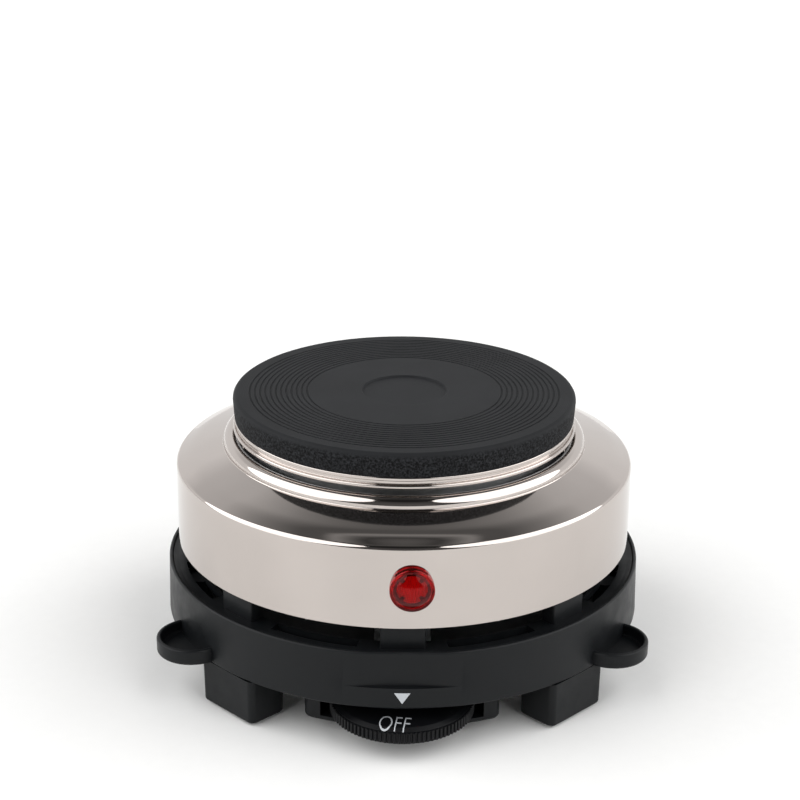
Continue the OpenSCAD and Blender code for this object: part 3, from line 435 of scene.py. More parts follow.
def turned_cast_iron(tint):
    """Grey cast iron: the face is turned and blacked, the side stays as it left the sand."""
    # The face gives a dull sheen in rings; the side gives a dark speckle of sand grains
    material, tree, shader, place = start(
        "cast_iron_turned_and_blacked", tint, 0.0, 0.7, 1.5, **{"Specular IOR Level": 0.12})
    parts = add(tree, "ShaderNodeSeparateXYZ", None, place)
    face = add(tree, "ShaderNodeMapRange",
               {"From Min": (PLATE_HIGH.z - 1.7) * MM, "From Max": (PLATE_HIGH.z - 0.5) * MM},
               {"Value": (parts, "Z")})
    # Tool marks are near 0.2 mm apart, and drawn 0.5 mm apart so that they show
    rings = add(tree, "ShaderNodeTexWave",
                {"wave_type": "RINGS", "rings_direction": "Z", "Scale": 0.314 / (0.5 * MM), "Distortion": 0.6,
                 "Detail": 1}, place)
    sand = add(tree, "ShaderNodeTexNoise", {"Scale": per_mm(0.6), "Detail": 4, "Roughness": 0.7}, place)
    pits = add(tree, "ShaderNodeTexVoronoi", {"Scale": per_mm(0.7)}, place)
    cloud = add(tree, "ShaderNodeTexNoise", {"Scale": per_mm(14), "Detail": 3}, place)
    speckle = add(tree, "ShaderNodeValToRGB", {"stops": [(0.42, shade(tint, 0.2)), (0.64, shade(tint, 2.0))]},
                  {"Fac": (sand, "Fac")})
    smooth = add(tree, "ShaderNodeValToRGB", {"stops": [(0.3, shade(tint, 0.86)), (0.7, shade(tint, 1.12))]},
                 {"Fac": (cloud, "Fac")})
    mixed = add(tree, "ShaderNodeMix", {"data_type": "RGBA"},
                {"Factor": (face, "Result"), 6: (speckle, "Color"), 7: (smooth, "Color")})
    dull = add(tree, "ShaderNodeMapRange", {"To Min": 0.78, "To Max": 0.58}, {"Value": (face, "Result")})
    coarse = add(tree, "ShaderNodeMath", {"operation": "ADD"}, {0: (sand, "Fac"), 1: (pits, "Distance")})
    depth = add(tree, "ShaderNodeMix", {"data_type": "FLOAT"},
                {"Factor": (face, "Result"), 2: (coarse, 0), 3: (rings, "Fac")})
    relief = add(tree, "ShaderNodeMapRange", {"To Min": 0.55, "To Max": 0.12}, {"Value": (face, "Result")})
    rise = add(tree, "ShaderNodeBump", {"Distance": 0.12 * MM},
               {"Height": (depth, 0), "Strength": (relief, "Result")})
    link(tree, shader, {"Base Color": (mixed, 2), "Roughness": (dull, "Result"), "Normal": (rise, "Normal")})
    return material


def polished_stainless(name, tint, low, high):
    """Stainless sheet, buffed after drawing. low and high are its roughness off and on the buffing lines."""
    # It mirrors the room; the fine lines round the axis and a slow unevenness soften the mirror a little
    material, tree, shader, place = start(name, tint, 1.0, low)
    # Buffing lines are finer than 0.1 mm, and drawn 0.4 mm apart so that they show
    stretch = add(tree, "ShaderNodeMapping", {"Scale": (60, 60, per_mm(0.4))}, place)
    lines = add(tree, "ShaderNodeTexNoise", {"Scale": 1, "Detail": 3, "Roughness": 0.6},
                {"Vector": (stretch, "Vector")})
    slow = add(tree, "ShaderNodeTexNoise", {"Scale": per_mm(22), "Detail": 2}, place)
    gloss = add(tree, "ShaderNodeMapRange", {"From Min": 0.3, "From Max": 0.7, "To Min": low, "To Max": high},
                {"Value": (lines, "Fac")})
    tones = add(tree, "ShaderNodeValToRGB", {"stops": [(0.3, shade(tint, 0.965)), (0.7, shade(tint, 1.02))]},
                {"Fac": (slow, "Fac")})
    rise = add(tree, "ShaderNodeBump", {"Strength": 0.03, "Distance": 0.01 * MM}, {"Height": (lines, "Fac")})
    wave = add(tree, "ShaderNodeBump", {"Strength": 0.12, "Distance": 0.15 * MM},
               {"Height": (slow, "Fac"), "Normal": (rise, "Normal")})
    link(tree, shader, {"Base Color": (tones, "Color"), "Roughness": (gloss, "Result"),
                        "Normal": (wave, "Normal")})
    return material


def moulded_phenolic(name, tint, roughness):
    """Phenolic resin, compression moulded in a spark-eroded tool."""
    # A satin black with a soft edge light; the tool's grain is near 0.1 mm and drawn 0.25 mm so that it shows
    return grained(name, tint, 0.0, roughness, 0.25, 0.08, 0.12, 0.03, **{"Specular IOR Level": 0.2})


def red_lens(tint):
    """Acrylic lens, injection moulded and clear red."""
    # Deep red with a red-tinted shine on its dome; light passes twice through it
    material, tree, shader, place = start(
        "clear_red_acrylic", tint, 0.0, 0.04, 1.49,
        **{"Transmission Weight": 1.0, "Specular Tint": (1, 0.3, 0.3, 1)})
    flow = add(tree, "ShaderNodeTexNoise", {"Scale": per_mm(3), "Detail": 2}, place)
    gloss = add(tree, "ShaderNodeMapRange", {"To Min": 0.02, "To Max": 0.08}, {"Value": (flow, "Fac")})
    rise = add(tree, "ShaderNodeBump", {"Strength": 0.08, "Distance": 0.05 * MM}, {"Height": (flow, "Fac")})
    link(tree, shader, {"Roughness": (gloss, "Result"), "Normal": (rise, "Normal")})
    return material


WIRE_COLOURS = (("brown", "#6d4128"), ("black", "#242426"), ("blue", "#2c4b7a"), ("green", "#55883a"),
                ("white", "#dcd8cf"))


def make_finishes(colours):
    """One material for each material slot of the CAD record, and those of the added pieces."""
    return {
        "plate_iron": turned_cast_iron(colours.iron),
        "drum_steel": polished_stainless("stainless_sheet_buffed", colours.steel, 0.04, 0.08),
        "trim_steel": polished_stainless("stainless_ring_polished", colours.steel, 0.05, 0.1),
        "base_black": moulded_phenolic("phenolic_base_satin", colours.base, 0.42),
        "cover_black": moulded_phenolic("phenolic_cover_satin", shade(colours.base, 0.9)[:3], 0.45),
        "dial_black": moulded_phenolic("phenolic_dial_satin", colours.dial, 0.38),
        "lens_red": red_lens(colours.lens),
        # Opaque red inner moulding, seen dark through the lens
        "lamp_red": grained("nylon_lamp_body_red", linear("#7c1216"), 0.0, 0.35, 0.3, ior=1.53),
        # Clear soda glass with a slight grey veil
        "neon_glass": grained("neon_bulb_glass", linear("#e8d8c8"), 0.0, 0.08, 1.2, 0.05, 0.03, 0.02, 1.52,
                              **{"Transmission Weight": 0.8}),
        # Zinc-plated steel: pale, faintly mottled, half bright
        "plain_steel": grained("steel_zinc_plated", linear("#b4b7ba"), 1.0, 0.34, 0.5, 0.12, 0.1, 0.02),
        # Hot-dipped sheet: broad grey spangle
        "galvanised": grained("steel_galvanised_sheet", linear("#aeb2b5"), 1.0, 0.4, 3.0, 0.2, 0.08, 0.03),
        # Steatite, pressed and fired: warm white and slightly glossy
        "ceramic": grained("steatite_fired", linear("#ece7da"), 0.0, 0.45, 0.35, 0.06, 0.12, 0.02, 1.6),
        # Magnesia cement, cast wet: chalky and grainy
        "cement": grained("magnesia_cement_cast", linear("#d9d2c2"), 0.0, 0.9, 0.6, 0.16, 0.5, 0.12),
        # Pressed mica board: flat buff with dark flakes
        "mica_board": grained("mica_board_pressed", linear("#bdb49d"), 0.0, 0.55, 1.2, 0.22, 0.12, 0.03,
                              1.58),
        # Oxidised heating wire: dull brown grey
        "heater_wire": grained("resistance_wire_oxidised", linear("#6b655d"), 1.0, 0.55, 0.3, 0.2, 0.15,
                               0.03),
        # Turned brass: yellow, half bright
        "brass": grained("brass_turned", linear("#c9a44c"), 1.0, 0.28, 0.4, 0.1, 0.08, 0.02),
        # Rolled phosphor bronze: reddish, satin
        "blade_bronze": grained("phosphor_bronze_rolled", linear("#b9824f"), 1.0, 0.3, 0.5, 0.1, 0.08, 0.02),
        # Rolled bimetal: grey with a faint straw tint
        "bimetal": grained("bimetal_strip_rolled", linear("#96908a"), 1.0, 0.38, 0.5, 0.12, 0.08, 0.02),
        # Silver contact faces: white and soft
        "silver": grained("silver_contact", linear("#dcdcdc"), 1.0, 0.25, 0.3, 0.08, 0.06, 0.02),
        # Moulded rubber: black grey, no shine
        "pad_rubber": grained("rubber_moulded", linear("#2f2f30"), 0.0, 0.85, 0.5, 0.15, 0.3, 0.06),
        # Silicone insulation in the wiring colours: dull and smooth
        **{f"lead_{name}": grained(f"silicone_sleeve_{name}", linear(code), 0.0, 0.55, 0.5, 0.08, 0.08, 0.02)
           for name, code in WIRE_COLOURS},
        # Moulded nylon: black with a waxy shine
        "gland_black": grained("nylon_gland_black", linear("#1d1f21"), 0.0, 0.4, 0.3, 0.1, 0.1, 0.03, 1.53),
        # Pad-printed ink: flat off-white, slightly uneven
        "print": grained("printed_ink_white", colours.marks, 0.0, 0.5, 0.2, 0.06, 0.05, 0.01),
        # Dark ring of the lamp body, seen through the lens
        "lamp_ring": grained("nylon_lamp_ring_dark", linear("#3d3a3b"), 0.0, 0.6, 0.3, 0.2, 0.2, 0.03, 1.53,
                              **{"Specular IOR Level": 0.1}),
        # Ribbed diffuser behind the lens
        "diffuser": grained("diffuser_red_ribbed", linear("#ff6a62"), 0.0, 0.5, 0.5, 0.1, 0.05, 0.02, 1.49,
                            **{"Specular IOR Level": 0.1}),
    }


def finish_of(key):
    """The material made for a slot."""
    made = bpy.context.scene.get("burner_finishes")
    if not made or key not in made:
        raise RuntimeError(f"there is no finish for {key}; run burner.finishes first")
    return bpy.data.materials[made[key]]


# ---- operators ----


class BURNER_OT_finishes(bpy.types.Operator):
    """Makes the finishes and gives each CAD node the one of its slot"""

    bl_idname = "burner.finishes"
    bl_label = "Finishes"

    def execute(self, context):
        made = make_finishes(context.scene.burner_colours)
        context.scene["burner_finishes"] = {key: material.name for key, material in made.items()}
        slots = {row["node"]: row["material_slot"] for row in frame["record"]["subparts"]}
        for node, obj in frame["nodes"].items():
            if not obj.material_slots:
                raise RuntimeError(f"CAD node {node} has no material slot")
            for place in obj.material_slots:
                place.material = made[slots[node]]
        return {"FINISHED"}


class BURNER_OT_cast_plate(bpy.types.Operator):
    """Cast iron plate with its turned grooves, its sunk centre and the channels for the heater"""

    bl_idname = "burner.cast_plate"
    bl_label = "Cast plate"

    def execute(self, context):
        sizes = context.scene.burner_sizes
        top, low, channel_low = PLATE_HIGH.z, TRIM_HIGH.z, PLATE_LOW.z
        pitch, depth, edge_r = sizes.groove_pitch / MM, sizes.groove_depth / MM, sizes.plate_edge / MM
        width, lip, plain_band, draft = 0.6, 0.14, 4.2, 0.5
        sunk_r, sunk_depth, skirt_r = 12, 0.5, 45.2
        stud_r, stud_depth, roof = 3, 3.5, top - 3.2
        channels = ((43.7, 30.1), (27.1, 12))
        groove_out = PLATE_R - draft - plain_band
        corners = [(0, top - sunk_depth), (sunk_r, top - sunk_depth, 0.15), (sunk_r + 0.35, top, 0.25)]
        for i in reversed(range(sizes.groove_count)):
            out = groove_out - i * pitch
            corners += [(out - width, top, lip), (out - width + lip, top - depth, 0.1),
                        (out - lip, top - depth, 0.1), (out, top, lip)]
        corners += [(PLATE_R, top, edge_r), (PLATE_R - draft, low, 0.3), (skirt_r, low), (skirt_r, channel_low)]
        for out, inner in channels:
            corners += [(out, channel_low), (out, roof), (inner, roof), (inner, channel_low)]
        corners += [(stud_r, channel_low), (stud_r, channel_low + stud_depth), (0, channel_low + stud_depth)]
        points = rounded(corners, 4)
        # Extra rows on the side carry the cast grain
        edge = next(i for i, p in enumerate(points) if p.x > PLATE_R - 0.2 and p.y < top - edge_r - 0.01)
        upper, lower = points[edge], points[edge + 1]
        rows = 14
        side = [upper.lerp(lower, k / rows) for k in range(1, rows)]
        points[edge + 1:edge + 1] = side
        grain = sizes.cast_grain / MM

        def cast(turn, r, z):
            if r < PLATE_R - draft - 0.25 or z > top - 1.0 or z < low + 0.2:
                return r, z
            spot = Vector((r * math.sin(turn), r * math.cos(turn), z))
            return r - grain * abs(noise.noise(spot * 0.9)) - grain * 0.6 * abs(noise.noise(spot * 0.35)), z

        add_piece("cast_iron_plate", lathe(points, 540, cast), "plate_iron",
                  nodes=["hot_plate"], crease=28)
        return {"FINISHED"}


class BURNER_OT_trim_ring(bpy.types.Operator):
    """Polished ring under the plate, with its upper band and rolled lower lip"""

    bl_idname = "burner.trim_ring"
    bl_label = "Trim ring"

    def execute(self, context):
        low, top, out = TRIM_LOW.z, TRIM_HIGH.z, TRIM_HIGH.x
        inner = out - 4.2
        corners = [(inner, low, 0.2), (out - 0.5, low, 0.2), (out - 0.5, low + 0.2, 0.05),
                   (out, low + 0.2, 0.45), (out, low + 1.2, 0.45), (out - 1, low + 1.2, 0.2),
                   (out - 1, top - 1, 0.15), (out - 0.5, top - 1, 0.4), (out - 0.5, top, 0.25),
                   (inner, top, 0.2)]
        add_piece("polished_trim_ring", lathe(rounded(corners, 6), 360), "trim_steel",
                  nodes=["trim_ring"])
        return {"FINISHED"}


class BURNER_OT_steel_drum(bpy.types.Operator):
    """Drawn stainless drum: wall, rolled corner, sloping shoulder, bead, skirt and ledge"""

    bl_idname = "burner.steel_drum"
    bl_label = "Steel drum"

    def execute(self, context):
        sizes = context.scene.burner_sizes
        slope = math.tan(sizes.shoulder)
        corner_r, low, bead = 1.4, DRUM_LOW.z, sizes.bead / MM
        wall_top, foot_r = low + 23.8, 52.7
        corner = (DRUM_R - corner_r + corner_r * math.sin(sizes.shoulder),
                  wall_top - corner_r + corner_r * math.cos(sizes.shoulder))
        corner_z = corner[1] - (DRUM_R - corner[0]) * slope
        foot_z = corner[1] + (corner[0] - foot_r) * slope
        bead_z, bead_x = DRUM_HIGH.z - bead, foot_r - bead
        ledge = bead_z - 2.6

        def arc(radius, start, end, steps):
            turns = [start + (end - start) * k / steps for k in range(steps + 1)]
            return [(bead_x + radius * math.cos(a), bead_z + radius * math.sin(a)) for a in turns]

        # The shoulder is a little domed: flatter over its inner part and steeper towards the corner
        run, flat_part, easing = corner[0] - foot_r, 0.6, 0.05
        dome = []
        for k in range(14):
            t = 0.9 - 0.8 * k / 13
            rise = easing * run * t
            if t > flat_part:
                rise -= 2.5 * easing * run * (t - flat_part) ** 2 / (1 - flat_part)
            dome.append((foot_r + run * t, foot_z - slope * run * t + rise))
        near_lamp = 6.2
        drop = SHEET / math.cos(sizes.shoulder)
        skirt_r, inner_r = foot_r - 2 * bead, DRUM_R - SHEET
        ledge_in = skirt_r - 4.2
        outside = rounded([(DRUM_R - 0.3, low, 0.15), (DRUM_R, low, 0.25), (DRUM_R, LAMP_Z - near_lamp),
                           (DRUM_R, LAMP_Z + near_lamp), (DRUM_R, corner_z, corner_r), *dome,
                           (foot_r + 0.02, foot_z, 0.5), (foot_r, bead_z)], 8)
        across = arc(bead, 0, math.pi, 32)
        skirt = rounded([across[-1], (skirt_r, ledge, 0.5), (ledge_in, ledge, 0.2),
                         (ledge_in, ledge - SHEET, 0.2), (skirt_r + SHEET, ledge - SHEET, 0.4),
                         (skirt_r + SHEET, bead_z)], 4)
        back = arc(bead - SHEET, math.pi, 0, 16)
        inside = [(foot_r - SHEET, foot_z - drop + SHEET * slope), (inner_r - 0.6, corner_z - drop + 1.2 * slope),
                  (inner_r, corner_z - drop - 0.3), (inner_r, LAMP_Z + near_lamp), (inner_r, LAMP_Z - near_lamp),
                  (inner_r, low + 0.1)]
        drum = lathe([*outside, *across[1:], *skirt[1:-1], *back, *inside], 540)
        out = Vector((*at(1, LAMP_TURN), 0))
        middle = Vector((0, 0, LAMP_Z))
        lamp_hole_r, lug_half, lug_in, screw_hole_r = 4.8, 5, 58.5, 1.46
        hole = rod(lamp_hole_r, middle + out * (DRUM_R - 4), middle + out * (DRUM_R + 3))
        drum = combine(drum, [hole], "DIFFERENCE")
        lugs = [turned(brick((-lug_half, lug_half), (-DRUM_R + 0.45, -lug_in), (low, low + SHEET), 0.15), turn)
                for turn in POST_TURNS]
        drum = combine(drum, [join(lugs)], "UNION")
        screw_r = (FLANGE_R + DRUM_R) / 2 - 0.6
        holes = [rod(screw_hole_r, (*at(screw_r, t), low - 1), (*at(screw_r, t), low + 1.2), 32)
                 for t in POST_TURNS]
        drum = combine(drum, [join(holes)], "DIFFERENCE")
        add_piece("stainless_drum", drum, "drum_steel",
                  nodes=["top_cover"], crease=36)
        return {"FINISHED"}


class BURNER_OT_pilot_lamp(bpy.types.Operator):
    """Red lens with the notched ring and the ribbed diffuser that show through it"""

    bl_idname = "burner.pilot_lamp"
    bl_label = "Pilot lamp"

    def execute(self, context):
        sizes = context.scene.burner_sizes
        radius, dome = sizes.lens / MM, sizes.lens_dome / MM
        flange, inner = 2.0, 5.0
        cap_r = radius - 0.9

        def cap(r_edge, z_edge, rise, steps):
            ball = (r_edge ** 2 + rise ** 2) / (2 * rise)
            reach = math.asin(r_edge / ball)
            turns = [reach * k / steps for k in range(steps + 1)]
            return [(ball * math.sin(a), z_edge + rise - ball + ball * math.cos(a)) for a in turns]

        outer_cap = cap(cap_r, flange, dome, 14)
        inner_cap = cap(inner - 0.3, flange - 0.1, dome - 0.5, 12)
        rim = rounded([outer_cap[-1], (radius, flange, 0.45), (radius, 0.02, 0.05),
                       (inner, 0.02, 0.05), (inner, flange - 0.3, 0.2), inner_cap[-1]], 5)
        points = [(0, outer_cap[0][1]), *outer_cap[1:], *rim[1:-1], *reversed(inner_cap[1:]),
                  (0, inner_cap[0][1])]

        def follow_wall(turn, r, z):
            if z > 0.2:
                return r, z
            return r, z - (DRUM_R - math.sqrt(DRUM_R ** 2 - (r * math.sin(turn)) ** 2))

        lamp = (Matrix.Rotation(LAMP_TURN, 4, "Z") @ Matrix.Translation(Vector((0, -DRUM_R, LAMP_Z)) * MM)
                @ Matrix.Rotation(math.pi / 2, 4, "X"))
        lens = lathe(points, 96, follow_wall)
        lens.transform(lamp)
        add_piece("lamp_lens_dome", lens, "lens_red", nodes=["lamp_lens"])

        # Ring with four notches that point inwards
        steps = 240
        notch_half, notch_in, ring_in, ring_out = 0.6, 2.9, 3.9, 4.9
        inside, outside = [], []
        for k in range(steps):
            turn = 2 * math.pi * k / steps
            side = min(abs(math.remainder(turn - a, 2 * math.pi)) for a in POST_TURNS)
            reach = notch_in if side * ring_in < notch_half else ring_in
            inside.append((reach * math.sin(turn), reach * math.cos(turn)))
            outside.append((ring_out * math.sin(turn), ring_out * math.cos(turn)))
        rows = [[(x, y, z) for x, y in loop] for loop, z in
                ((inside, 0.35), (inside, 0.75), (outside, 0.75), (outside, 0.35))]
        ring = skin(rows, around=True)
        ring.transform(lamp)
        add_piece("lamp_notched_ring", ring, "lamp_ring", crease=30)

        # Diffuser disc with upright ribs
        pitch, disc_r, across, along = sizes.lens_ribs / MM, 4.3, 112, 8
        ribs = bmesh.new()
        top, bottom = [], []
        for i in range(across + 1):
            x = disc_r * 0.998 * (2 * i / across - 1)
            half = math.sqrt(disc_r ** 2 - x ** 2)
            rise = 0.25 + 0.11 * (1 + math.cos(2 * math.pi * x / pitch))
            levels = [half * (2 * j / along - 1) for j in range(along + 1)]
            top.append([ribs.verts.new(Vector((x, y, rise)) * MM) for y in levels])
            bottom.append([ribs.verts.new(Vector((x, y, 0.03)) * MM) for y in levels])
        for i in range(across):
            for j in range(along):
                for grid in (top, bottom):
                    ribs.faces.new([grid[i][j], grid[i + 1][j], grid[i + 1][j + 1], grid[i][j + 1]])
            for j in (0, along):
                ribs.faces.new([top[i][j], top[i + 1][j], bottom[i + 1][j], bottom[i][j]])
        for i in (0, across):
            for j in range(along):
                ribs.faces.new([top[i][j], top[i][j + 1], bottom[i][j + 1], bottom[i][j]])
        bmesh.ops.recalc_face_normals(ribs, faces=ribs.faces)
        ribs.transform(lamp)
        add_piece("lamp_ribbed_diffuser", ribs, "diffuser", crease=60)
        return {"FINISHED"}


class BURNER_OT_base_moulding(bpy.types.Operator):
    """Black base: wall with its front flat, rim, trough, vented flange, tabs and side ears"""

    bl_idname = "burner.base_moulding"
    bl_label = "Base moulding"

    def execute(self, context):
        edge = context.scene.burner_sizes.base_round / MM
        rim_r = 0.55
        rim_mid = RIM_Z - rim_r
        step_z, flat_y = BASE_Z + 6.1, math.sqrt(BASE_R ** 2 - 14 ** 2)

        def wall_r(z):
            return BASE_R - (BASE_R - BASE_TOP_R) * min(1, (z - BASE_Z) / (rim_mid - BASE_Z))

        turns = [math.pi * k / 10 for k in range(11)]
        arc = [(BASE_TOP_R - rim_r + rim_r * math.cos(a), rim_mid + rim_r * math.sin(a)) for a in turns]
        outside = rounded([(BASE_IN_R, BASE_Z, 0.2), (BASE_R, BASE_Z, edge),
                           *[(wall_r(z), z) for z in (step_z - 0.04, step_z + 0.04, rim_mid - 0.1)]], 5)
        inside = rounded([arc[-1], (BASE_TOP_R - 2 * rim_r - 0.05, RIM_Z - 0.75, 0.1),
                          (DRUM_R + 0.4, FLANGE_Z, 0.4), (FLANGE_R, FLANGE_Z, 0.3), (FLANGE_R, FLANGE_LOW, 0.3),
                          (BASE_IN_R, FLANGE_LOW, 0.5), (BASE_IN_R, BASE_Z + 1)], 4)
        flat_turn, flat_in, blend = 0.42, 66.6, 0.15

        def flat(turn, r, z):
            side = math.remainder(turn, 2 * math.pi)
            if z < step_z or abs(side) > flat_turn or r < flat_in:
                return r, z
            over = wall_r(z) - flat_y / math.cos(side)
            over = (over + math.sqrt(over * over + blend)) / 2
            return r - over * min(1, (r - flat_in) / 1.4), z

        wall = lathe([*outside, *arc, *inside[1:]], 720, flat)
        vents = []
        for i in range(8):
            vent_turn = i * math.pi / 4 + math.radians(11)
            vents.append(sector(FLANGE_R + 1, DRUM_R - 1.8, FLANGE_LOW - 1, FLANGE_Z + 1, vent_turn,
                                vent_turn + math.radians(23)))
        gland_hole = rod(4.31, (0, BASE_IN_R - 3, GLAND_Z), (0, BASE_R + 3, GLAND_Z))
        wall = combine(wall, [join([*vents, gland_hole])], "DIFFERENCE")

        added = []
        for i in range(8):
            tab = brick((-6.1, 6.1), (-TAB_R, -FLANGE_R), (FLANGE_Z - 0.5, DRUM_LOW.z - 0.01), 0.45)
            added.append(turned(tab, i * math.pi / 4))
        ear_turn, ear_in_r, ear_r, ear_core_r = math.radians(58), 9.0, 10.3, 68.4
        ear_low, ear_floor, ear_top = BASE_Z + 0.02, BASE_Z + 1.3, BASE_Z + 4.6
        for side in (-1, 1):
            cup = rounded([(0, ear_floor), (ear_in_r, ear_floor, 0.8), (ear_in_r, ear_top, 0.5),
                           (ear_r, ear_top, 0.6), (ear_r, ear_low, 0.9), (0, ear_low)], 5)
            ear = turned(lathe(cup, 120), side * ear_turn, (0, -BASE_R, 0))
            core = rod(ear_core_r, (0, 0, BASE_Z - 1), (0, 0, BASE_Z + 8), 240)
            added.append(combine(ear, [core], "DIFFERENCE"))
        for turn in SCREW_TURNS:
            spot = at(SCREW_R, turn)
            added.append(rod(3.4, (*spot, COVER_TOP + 0.01), (*spot, FLANGE_LOW + 0.5)))
        wall = combine(wall, [join(added)], "UNION")
        add_piece("base_moulding", wall, "base_black", nodes=["base_ring"],
                  crease=34)
        return {"FINISHED"}


def housing_outline(inset):
    """Outline of the dial housing: round front, straight sides and rounded corners."""
    front_r, half_w, corner = 62.6, 26.8, 3.0
    back_y = DIAL_Y + DIAL_R + 3 - inset
    spot_x = half_w - corner
    spot_y = math.sqrt((front_r - corner) ** 2 - spot_x ** 2)
    lean = math.asin(spot_x / (front_r - corner))
    radius = corner - inset
    points = [(-half_w + inset, back_y)]
    for k in range(9):
        a = math.pi / 2 + (math.pi / 2 - lean) * k / 8
        points.append((-spot_x - radius * math.sin(a), -spot_y + radius * math.cos(a)))
    for k in range(1, 48):
        a = -lean + 2 * lean * k / 48
        points.append(at(front_r - inset, a))
    for k in range(9):
        a = math.pi / 2 + (math.pi / 2 - lean) * (8 - k) / 8
        points.append((spot_x + radius * math.sin(a), -spot_y + radius * math.cos(a)))
    points.append((half_w - inset, back_y))
    return points


class BURNER_OT_bottom_moulding(bpy.types.Operator):
    """Bottom cover with its four feet, the dial housing and the air slots"""

    bl_idname = "burner.bottom_moulding"
    bl_label = "Bottom moulding"

    def execute(self, context):
        cover_r, foot_w, foot_face, foot_depth, foot_round = 66.7, 21.5, 69.3, 12.6, 1.7
        floor = lathe(rounded([(0, COVER_Z), (cover_r, COVER_Z, 0.3), (cover_r, COVER_TOP, 0.3),
                               (0, COVER_TOP)], 3), 360)

        def foot_outline(inset):
            x, out, back = foot_w / 2 - inset, -foot_face + inset, -foot_face + foot_depth - inset
            return rounded([(-x, back, foot_round), (-x, out, foot_round), (x, out, foot_round),
                            (x, back, foot_round)], 7)

        taper = 0.15
        foot_levels = [(z, inset + taper) for z, inset in round_foot(FOOT_Z, 0.9)]
        foot_levels += [(FOOT_Z + 1.0, taper), (SEAT_Z, 0)]
        feet = [turned(pillar(foot_outline, foot_levels), turn) for turn in POST_TURNS]

        shell = pillar(housing_outline, [*round_foot(HOUSING_Z, 1.0), (HOUSING_Z + 1.1, 0), (COVER_Z + 0.2, 0)])
        wall, mouth_half = 1.6, 22.4
        room = pillar(lambda inset: housing_outline(inset + wall),
                      [(HOUSING_Z + wall, 0.4), (HOUSING_Z + wall + 0.4, 0), (COVER_Z - 0.01, 0)])
        mouth = brick((-mouth_half, mouth_half), (-64, -50.5), (HOUSING_Z + wall, COVER_Z - 0.01))
        shell = combine(shell, [room, mouth], "DIFFERENCE")

        posts = [rod(3.4, (x, 54, COVER_TOP - 0.3), (x, 54, GLAND_Z + 3.2)) for x in (-8.2, 8.2)]
        whole = combine(floor, [join(feet), shell, join(posts)], "UNION")
        cuts = []
        slot_pitch, slot_half, slot_l = 9, 1.5, 22
        for row in (-22, 6):
            for i in range(-3, 4):
                x = i * slot_pitch
                cuts.append(brick((x - slot_half, x + slot_half), (row, row + slot_l),
                                  (COVER_Z - 1, COVER_TOP + 1)))
        cuts.append(rod(4.8, (0, DIAL_Y, COVER_Z - 1), (0, DIAL_Y, COVER_TOP + 1)))
        for turn in SCREW_TURNS:
            spot = at(SCREW_R, turn)
            cuts.append(rod(1.55, (*spot, COVER_Z - 1), (*spot, COVER_TOP + 1), 24))
        pad_spot_r, pad_hole_r = 63.0, 3.52
        for turn in POST_TURNS:
            spot = at(pad_spot_r, turn)
            cuts.append(rod(pad_hole_r, (*spot, FOOT_Z - 1), (*spot, FOOT_Z + 1.02)))
        whole = combine(whole, [join(cuts)], "DIFFERENCE")
        add_piece("bottom_moulding", whole, "cover_black",
                  nodes=["bottom_cover"], crease=34)
        return {"FINISHED"}


class BURNER_OT_dial(bpy.types.Operator):
    """Thumb dial with its ribbed edge, sloping rim and hub"""

    bl_idname = "burner.dial"
    bl_label = "Dial"

    def execute(self, context):
        count = context.scene.burner_sizes.rib_count
        low, top, root = DIAL_LOW.z, DIAL_TOP, DIAL_ROOT_R
        steps_per_rib, hub_r, bore_r, hub_top = 12, 7, 3, DIAL_HIGH.z

        def rib(turn, r, z):
            if r < root + 0.01:
                return r, z
            t = (turn * count / (2 * math.pi)) % 1
            crest = min(1, max(0, (0.34 - abs(t - 0.5)) / 0.14))
            return root + (r - root) * crest * crest * (3 - 2 * crest), z

        edge = rounded([(0, low), (root - 0.4, low, 0.1), (root - 0.05, low + 0.4, 0.1)], 2)
        band = [(root + 0.45, low + 0.5), (DIAL_R, low + 0.75), (DIAL_R, top - 1.1),
                (root + 0.45, top - 0.88)]
        face = rounded([(root - 0.02, top - DIAL_SLOPE_H, 0.1), (root - DIAL_SLOPE_W, top, 0.12),
                        (hub_r, top, 0.5), (hub_r, hub_top, 0.4), (bore_r, hub_top, 0.1), (bore_r, low + 1),
                        (0, low + 1)], 3)
        dial = lathe([*edge, *band, *face], count * steps_per_rib, rib)
        dial.transform(Matrix.Translation((0, DIAL_Y * MM, 0)))
        add_piece("thumb_dial", dial, "dial_black", body="dial",
                  nodes=["control_dial"], crease=40)
        return {"FINISHED"}


def word(text, width, height):
    """Bmesh of a word, flat and centred on the origin, in metres.
    A width of 0 keeps the figures' own shape, made narrow."""
    narrow = 0.42
    curve = bpy.data.curves.new("word", "FONT")
    curve.body, curve.resolution_u, curve.offset = text, 6, -0.016
    obj = bpy.data.objects.new("word", curve)
    bpy.context.scene.collection.objects.link(obj)
    graph = bpy.context.evaluated_depsgraph_get()
    mesh = bpy.data.meshes.new_from_object(obj.evaluated_get(graph))
    bm = bmesh.new()
    bm.from_mesh(mesh)
    bpy.data.objects.remove(obj)
    bpy.data.curves.remove(curve)
    bpy.data.meshes.remove(mesh)
    bmesh.ops.remove_doubles(bm, verts=bm.verts, dist=1e-5)
    xs, ys = [v.co.x for v in bm.verts], [v.co.y for v in bm.verts]
    middle = Vector(((min(xs) + max(xs)) / 2, (min(ys) + max(ys)) / 2, 0))
    scale_y = height * MM / (max(ys) - min(ys))
    scale_x = width * MM / (max(xs) - min(xs)) if width else scale_y * narrow
    for v in bm.verts:
        v.co = Vector(((v.co.x - middle.x) * scale_x, (v.co.y - middle.y) * scale_y, 0))
    return bm


